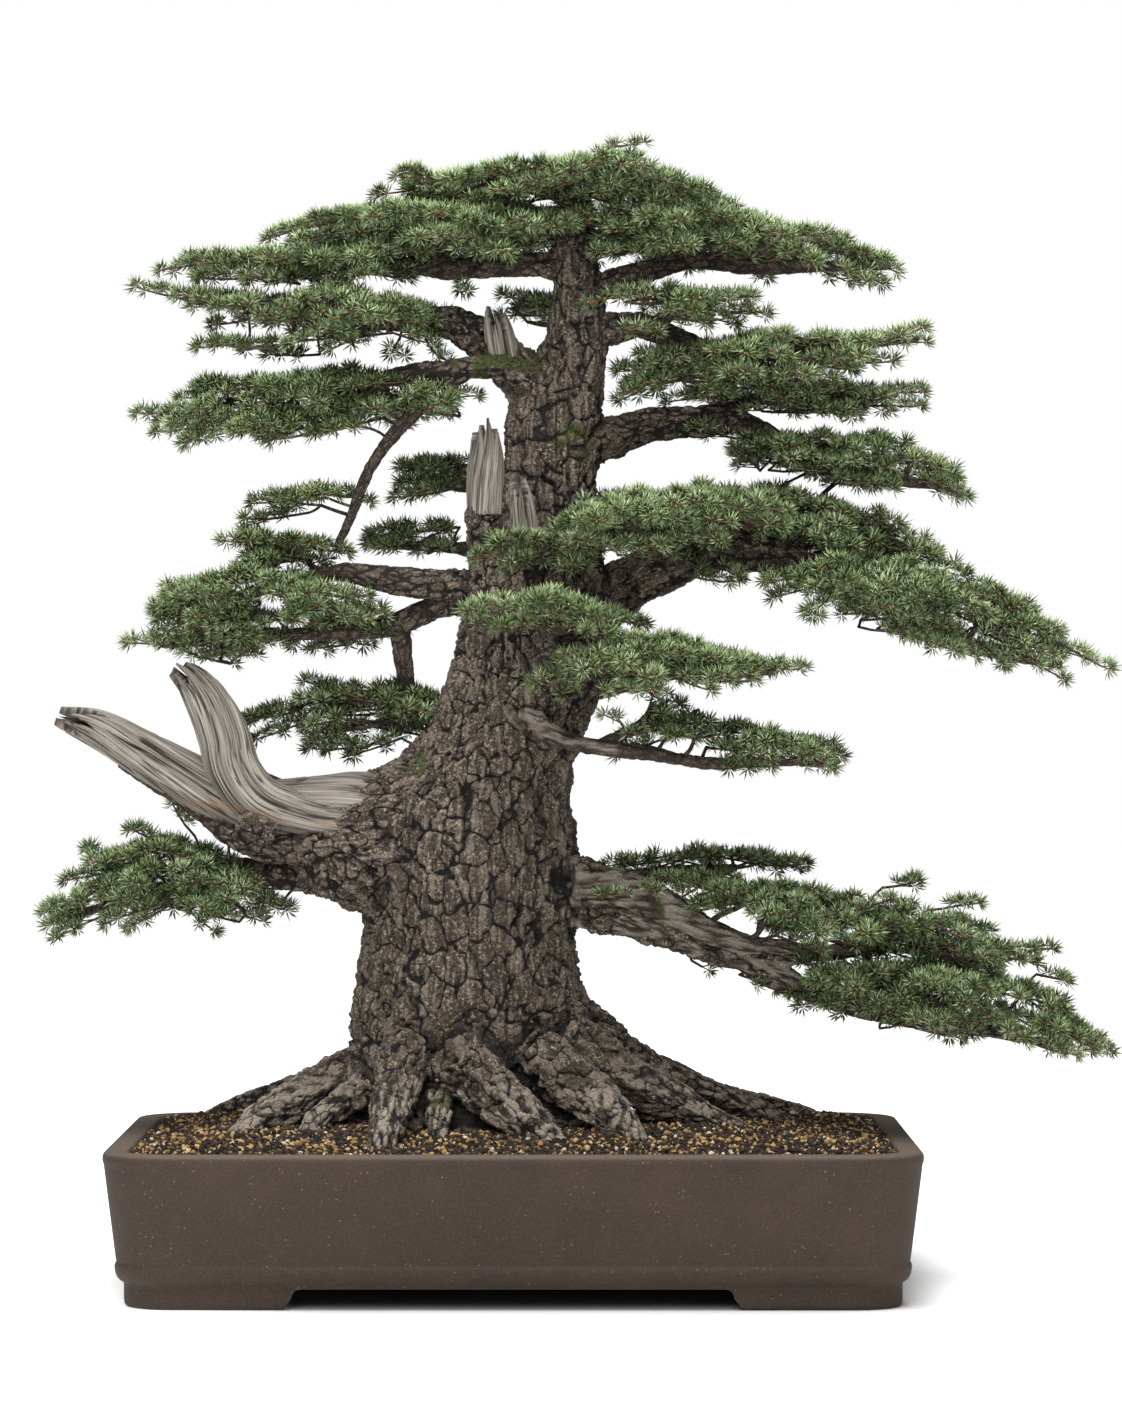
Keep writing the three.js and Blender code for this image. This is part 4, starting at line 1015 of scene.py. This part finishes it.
def grow_spray(start, way, joints, rng):
    """One flat spray from its start: rosette centres and facings, and its shoots' ends and radii."""
    side = unit(np.cross((0, 0, 1.0), way))
    upright = np.cross(way, side)
    centres, facings, shoots = [], [], []
    here = np.array(start, float)
    heading = way + side * rng.normal(0, 0.12)
    hand = rng.choice([-1, 1])
    for joint in range(joints):
        left = 1 - joint / joints
        ahead = here + unit(heading) * JOINT_SPACING * rng.uniform(0.85, 1.15)
        shoots.append((here, ahead, 0.62 + 0.42 * left, 0.55 + 0.40 * left))
        reach = (5 + 11 * left) * rng.uniform(0.75, 1.15)
        out = unit(heading * rng.uniform(0.4, 0.8) + side * hand * 0.9 + upright * rng.normal(0.08, 0.16))
        tip = ahead + out * reach
        shoots.append((ahead, tip, 0.55, 0.45))
        centres.append(tip)
        facings.append(out * 0.8 + upright * 0.55)
        if reach > 9:
            centres.append(ahead + out * reach * 0.5 + upright * 2.0)
            facings.append(out * 0.2 + upright)
        if rng.uniform() < 0.75:
            centres.append(ahead + upright * 2.4 - side * hand * 2.0)
            facings.append(upright * 0.95 - side * hand * 0.45 + heading * 0.25)
        here = ahead
        hand = -hand
        heading = heading + side * rng.normal(0, 0.16) + upright * rng.normal(0.03, 0.07)
    tip = here + unit(heading) * 5.5
    shoots.append((here, tip, 0.55, 0.45))
    centres.append(tip)
    facings.append(unit(heading) + upright * 0.25)
    facings = unit(np.array(facings) + rng.normal(0, 0.18, (len(facings), 3)))
    return np.array(centres), facings, shoots


def place_sprays(node, rng):
    """Where the pad's sprays start, which way they run and how many joints they have."""
    tree = node_tree(node)
    low, high = node_box(node)

    def top_at(x, y):
        return tree.ray_cast(Vector((x, y, high[2] + 10)), Vector((0, 0, -1)))[0]

    middle = (low + high) / 2
    half = np.maximum((high - low) / 2, 12)
    away = 1.0 if middle[0] > pot_middle.x / MM else -1.0
    found = []
    spacing = min(SPRAY_SPACING, 0.62 * min(half[0], half[1]) + 8)
    for number, y in enumerate(np.arange(low[1] + 4, high[1], spacing * 0.87)):
        for x in np.arange(low[0] + 4, high[0], spacing) + (spacing / 2 if number % 2 else 0):
            px, py = (x, y) + rng.uniform(-0.34, 0.34, 2) * spacing
            top = top_at(px, py)
            if top is None:
                continue
            bottom = tree.ray_cast(Vector((px, py, low[2] - 10)), Vector((0, 0, 1)))[0]
            outward = np.array([(px - middle[0]) / half[0], (py - middle[1]) / half[1], 0])
            reach = np.linalg.norm(outward)
            way = unit(outward * (0.4 + reach) + (0.45 * away, 0, 0) + rng.normal(0, 0.22, 3) * (1, 1, 0))
            level = top.z - min(11, 0.5 * (top.z - bottom.z))
            level += 4.5 * wander(np.array([[px, py, top.z]]), 34, 91)[0]

            # The pad's slope along the spray, which the spray follows.
            tilt = 0.0
            ahead = top_at(px + way[0] * SLOPE_REACH, py + way[1] * SLOPE_REACH)
            behind = top_at(px - way[0] * SLOPE_REACH, py - way[1] * SLOPE_REACH)
            if ahead is not None and behind is not None:
                tilt = (ahead.z - behind.z) / (2 * SLOPE_REACH)
            elif behind is not None:
                tilt = (top.z - behind.z) / SLOPE_REACH

            # From the top of the pad down, one spray under another.
            layer = 0
            while layer == 0 or level > bottom.z - 6:
                inner = layer > 0 and reach < 0.5 and level > bottom.z + 12
                edge = level < bottom.z + 4 and layer > 0
                if rng.uniform() < (INNER_SHARE if inner else EDGE_SHARE if edge else SPRAY_SHARE):
                    slope = 0.09 - 0.07 * layer + np.clip(tilt, -0.8, 0.5) * (0.7 if layer == 0 else 0.6)
                    slope += rng.normal(0, 0.10)
                    joints = int(rng.integers(3, 5)) if spacing > 22 else 2
                    back_length = JOINT_SPACING * joints * 0.7
                    back = way * back_length
                    start = np.array([px, py, level]) - back - (0, 0, slope * back_length)
                    found.append((start, unit(way + (0, 0, slope)), joints))
                layer += 1
                level -= LAYER_SPACING * rng.uniform(0.8, 1.2)
                px, py = (px, py) + rng.uniform(-7, 7, 2)
    return found


# Small sprays that grow straight from the wood, away from the pads: where each starts (x from
# the pot's middle, y, height), which way it runs and how many joints it has.
lone_sprays = {
    "foliage_low_right_upper": [
        ((62, -34, 272), (0.2, -0.8, 0.45), 1), ((92, -40, 276), (0.5, -0.7, 0.45), 1),
        ((112, -30, 272), (0.7, -0.5, 0.5), 2),
    ],
    "foliage_thin_right": [
        ((94, -60, 404), (0.75, -0.2, 0.3), 2), ((80, -62, 393), (-0.3, -0.4, 0.6), 1),
        ((92, -60, 402), (0.2, -0.3, 0.75), 2), ((88, -60, 399), (0.7, -0.5, 0.2), 2),
    ],
    "foliage_crown_inner": [
        ((-30, -26, 722), (-0.4, -0.3, -0.6), 1),
    ],
    "foliage_left_upper": [
        ((-82, -22, 676), (-0.2, -0.3, -0.45), 1), ((-62, -20, 672), (0.3, -0.3, -0.35), 1),
        ((-108, -20, 680), (-0.5, -0.3, -0.3), 2), ((-130, -26, 676), (-0.9, -0.1, -0.12), 3),
        ((-160, -18, 672), (-0.9, 0.1, -0.05), 3), ((-176, -34, 668), (-0.9, -0.1, 0.0), 3),
        ((-190, -10, 674), (-0.9, 0.1, -0.1), 3), ((-140, 4, 666), (-0.9, 0.2, -0.05), 3),
    ],
    "foliage_right_large": [
        ((112, -30, 522), (0.6, -0.2, -0.4), 2), ((140, -28, 516), (0.7, -0.2, -0.35), 2),
        ((166, -20, 512), (0.8, -0.1, -0.2), 2), ((128, -14, 506), (0.8, 0.1, -0.2), 2),
    ],
    "foliage_right_tip": [
        ((296, -20, 512), (0.9, 0.0, -0.2), 2), ((322, -26, 502), (0.9, -0.1, -0.3), 2),
        ((346, -16, 488), (0.9, 0.1, -0.35), 2), ((366, -22, 474), (0.9, 0.0, -0.4), 2),
    ],
    "foliage_low_right": [
        ((126, -24, 232), (0.7, -0.2, -0.4), 1), ((160, -26, 222), (0.8, -0.2, -0.3), 2),
        ((262, -30, 284), (0.9, 0.0, 0.1), 2), ((296, -26, 268), (0.9, 0.0, 0.1), 3),
    ],
    "foliage_low_right_tip": [
        ((346, -30, 240), (0.9, 0.0, -0.1), 3), ((372, -24, 222), (0.9, 0.1, -0.2), 2),
    ],
    "foliage_low_left": [
        ((-230, 2, 320), (-0.5, 0.1, 0.6), 2), ((-254, -4, 314), (-0.8, 0.0, 0.45), 2),
        ((-284, -10, 300), (-0.9, 0.0, 0.35), 2), ((-206, 4, 316), (-0.2, 0.1, 0.7), 2),
    ],
}


def needle_bodies(centres, facings, rng):
    """All the needles of these rosettes, each a thin closed body of four faces."""
    count = len(centres)
    side = unit(np.cross(facings, rng.normal(size=(count, 3))))
    other = np.cross(facings, side)
    order = np.arange(NEEDLES)
    tilt = 0.25 + 1.42 * ((order + 0.5) / NEEDLES) ** 0.7
    tilt = tilt + rng.normal(0, 0.10, (count, NEEDLES))
    turn = order * GOLDEN_ANGLE + rng.uniform(0, 6.283, (count, 1)) + rng.normal(0, 0.15, (count, NEEDLES))
    ray = (np.cos(tilt)[..., None] * facings[:, None]
           + np.sin(tilt)[..., None] * (np.cos(turn)[..., None] * side[:, None]
                                        + np.sin(turn)[..., None] * other[:, None]))
    length = NEEDLE_LENGTH * rng.uniform(0.86, 1.12, (count, 1)) * rng.uniform(0.82, 1.08, (count, NEEDLES))
    length = length[..., None]
    wide = unit(np.cross(ray, facings[:, None] + rng.normal(0, 0.25, ray.shape)))
    high = np.cross(ray, wide)
    base = centres[:, None] + ray * 0.7
    lift = facings[:, None] * 0.07 * length
    left = base + ray * length * 0.45 + wide * NEEDLE_WIDTH / 2 + high * NEEDLE_WIDTH * 0.3
    right = base + ray * length * 0.45 - wide * NEEDLE_WIDTH / 2 + high * NEEDLE_WIDTH * 0.3
    tip = base + ray * length + lift
    points = np.stack([base, left, right, tip], 2).reshape(-1, 3)
    one = np.array([(0, 2, 1), (3, 1, 2), (0, 3, 2), (0, 1, 3)])
    return points, repeated(one, count * NEEDLES, 4)


def join_twigs(seeds, joints):
    """Joins every joint to a seed or an earlier joint, by short ways. Returns each one's parent."""
    nodes = np.concatenate([seeds, joints])
    cost = np.full(len(nodes), np.inf)
    cost[:len(seeds)] = 0.0
    parent = np.full(len(nodes), -1)
    away = np.array([np.min(np.linalg.norm(seeds - joint, axis=1)) for joint in joints])
    order = np.argsort(away) + len(seeds)
    for here in order:
        ready = np.where(np.isfinite(cost))[0]
        gap = np.linalg.norm((nodes[ready] - nodes[here]) * (1, 1, 1.7), axis=1)
        best = np.argmin(gap + 0.5 * cost[ready])
        parent[here] = ready[best]
        cost[here] = cost[ready[best]] + gap[best]
    return nodes, parent, order


def twig_bodies(starts, ends, start_radii, end_radii):
    """Straight tapering twigs between pairs of points, closed at both ends."""
    way = unit(ends - starts)
    helper = np.where(np.abs(way[:, 2:3]) < 0.9, np.array([[0.0, 0, 1]]), np.array([[1.0, 0, 0]]))
    side = unit(np.cross(way, helper))
    other = np.cross(way, side)
    angles = np.arange(TWIG_SIDES) * 2 * np.pi / TWIG_SIDES
    spoke = (np.cos(angles)[None, :, None] * side[:, None] + np.sin(angles)[None, :, None] * other[:, None])
    low = (starts - way * start_radii[:, None] * 0.3)[:, None] + spoke * start_radii[:, None, None]
    high = (ends + way * end_radii[:, None] * 0.3)[:, None] + spoke * end_radii[:, None, None]
    points = np.concatenate([low, high], 1)
    here = np.arange(TWIG_SIDES)
    ahead = (here + 1) % TWIG_SIDES
    quads = np.stack([here, ahead, ahead + TWIG_SIDES, here + TWIG_SIDES], 1)
    caps = np.stack([here[::-1], here + TWIG_SIDES])
    quads, caps = (repeated(faces, len(starts), 2 * TWIG_SIDES) for faces in (quads, caps))
    return points.reshape(-1, 3), quads, caps


wood_seeds = wood_points[::29]
for number, node in enumerate(sorted(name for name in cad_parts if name.startswith("foliage_"))):
    rng = np.random.default_rng(500 + number)
    sprays = place_sprays(node, rng)
    roots = []
    for (x, y, z), way, joints in lone_sprays.get(node, []):
        start = np.array([x + middle_x, y, z])
        sprays.append((start, unit(np.array(way)), joints))
        roots.append(wood_seeds[np.argmin(np.linalg.norm(wood_seeds - start, axis=1))])
    centres, facings, shoots = [], [], []
    for start, way, joints in sprays:
        spray_centres, spray_facings, spray_shoots = grow_spray(start, way, joints, rng)
        centres.append(spray_centres)
        facings.append(spray_facings)
        shoots.extend(spray_shoots)
    own_tint = np.repeat(rng.normal(0, 0.07, len(sprays)), [len(c) for c in centres])
    centres = np.concatenate(centres)
    facings = np.concatenate(facings)
    points, faces = needle_bodies(centres, facings, rng)
    mesh = new_mesh(node + "_needles", points * MM, faces)
    tint = 0.54 + own_tint + rng.normal(0, 0.09, len(centres)) + 0.12 * np.clip(facings[:, 2], -0.6, 1)
    tint = np.repeat(tint, NEEDLES) + rng.normal(0, 0.17, len(centres) * NEEDLES)
    tint = np.clip(np.repeat(tint, 4), 0.02, 0.98)
    along = np.tile([0.0, 0.45, 0.45, 1.0], len(centres) * NEEDLES)
    carry(mesh, {"tint": tint, "along": along})
    strip_map(mesh, along, tint + np.tile([0.0, -0.004, 0.004, 0.0], len(centres) * NEEDLES))
    add_piece(node + "_needles", mesh, [needle_green], [node])

    # Older twigs join the sprays to each other and to the nearest wood.
    low, high = node_box(node)
    seeds = wood_seeds[((wood_seeds > low - 8) & (wood_seeds < high + 8)).all(axis=1)]
    if len(seeds) < 4:
        order = np.argsort(np.linalg.norm(wood_seeds - (low + high) / 2, axis=1))
        seeds = wood_seeds[order[:6]]
    seeds = np.vstack([seeds] + roots)
    nodes, parent, order = join_twigs(seeds, np.array([start for start, way, joints in sprays]))
    load = np.ones(len(nodes))
    for index in order[::-1]:
        load[parent[index]] += load[index]
    stout = 0.95 * load ** 0.36
    first, last = nodes[parent[order]], nodes[order]
    corner = (first + last) / 2
    corner[:, 2] = 0.45 * last[:, 2] + 0.55 * first[:, 2]
    corner += rng.normal(0, 0.09, corner.shape) * np.linalg.norm(last - first, axis=1)[:, None]
    bends = [first * (1 - t) ** 2 + corner * 2 * t * (1 - t) + last * t ** 2 for t in np.linspace(0, 1, 5)]
    shoot_starts, shoot_ends, thick_ends, thin_ends = (np.array(part) for part in zip(*shoots))
    starts = np.concatenate(bends[:-1] + [shoot_starts])
    ends = np.concatenate(bends[1:] + [shoot_ends])
    start_radii = np.concatenate([stout[order] * share for share in (1.2, 1.15, 1.1, 1.05)] + [thick_ends])
    end_radii = np.concatenate([stout[order] * share for share in (1.15, 1.1, 1.05, 1.0)] + [thin_ends])
    points, quads, caps = twig_bodies(starts, ends, start_radii, end_radii)
    mesh = new_mesh(node + "_twigs", points * MM, quads, caps)
    young = np.concatenate([np.zeros(4 * len(order)), ease(0.9 - thick_ends, 0, 0.35) * 0.8])
    carry(mesh, {"shoot": np.repeat(young, 2 * TWIG_SIDES)})
    add_piece(node + "_twigs", mesh, [twig_bark])

    # Most rosettes have a bud in their middle.
    budded = rng.uniform(size=len(centres)) < BUD_SHARE
    shapes, bud_faces = stone_shapes(int(budded.sum()), 900 + number)
    shapes = shapes * BUD_SIZE + (centres + facings * 0.9)[budded][:, None]
    bud_faces = repeated(bud_faces, len(shapes), STONE_POINTS)
    mesh = new_mesh(node + "_buds", shapes.reshape(-1, 3) * MM, bud_faces)
    add_piece(node + "_buds", mesh, [bud_scale])
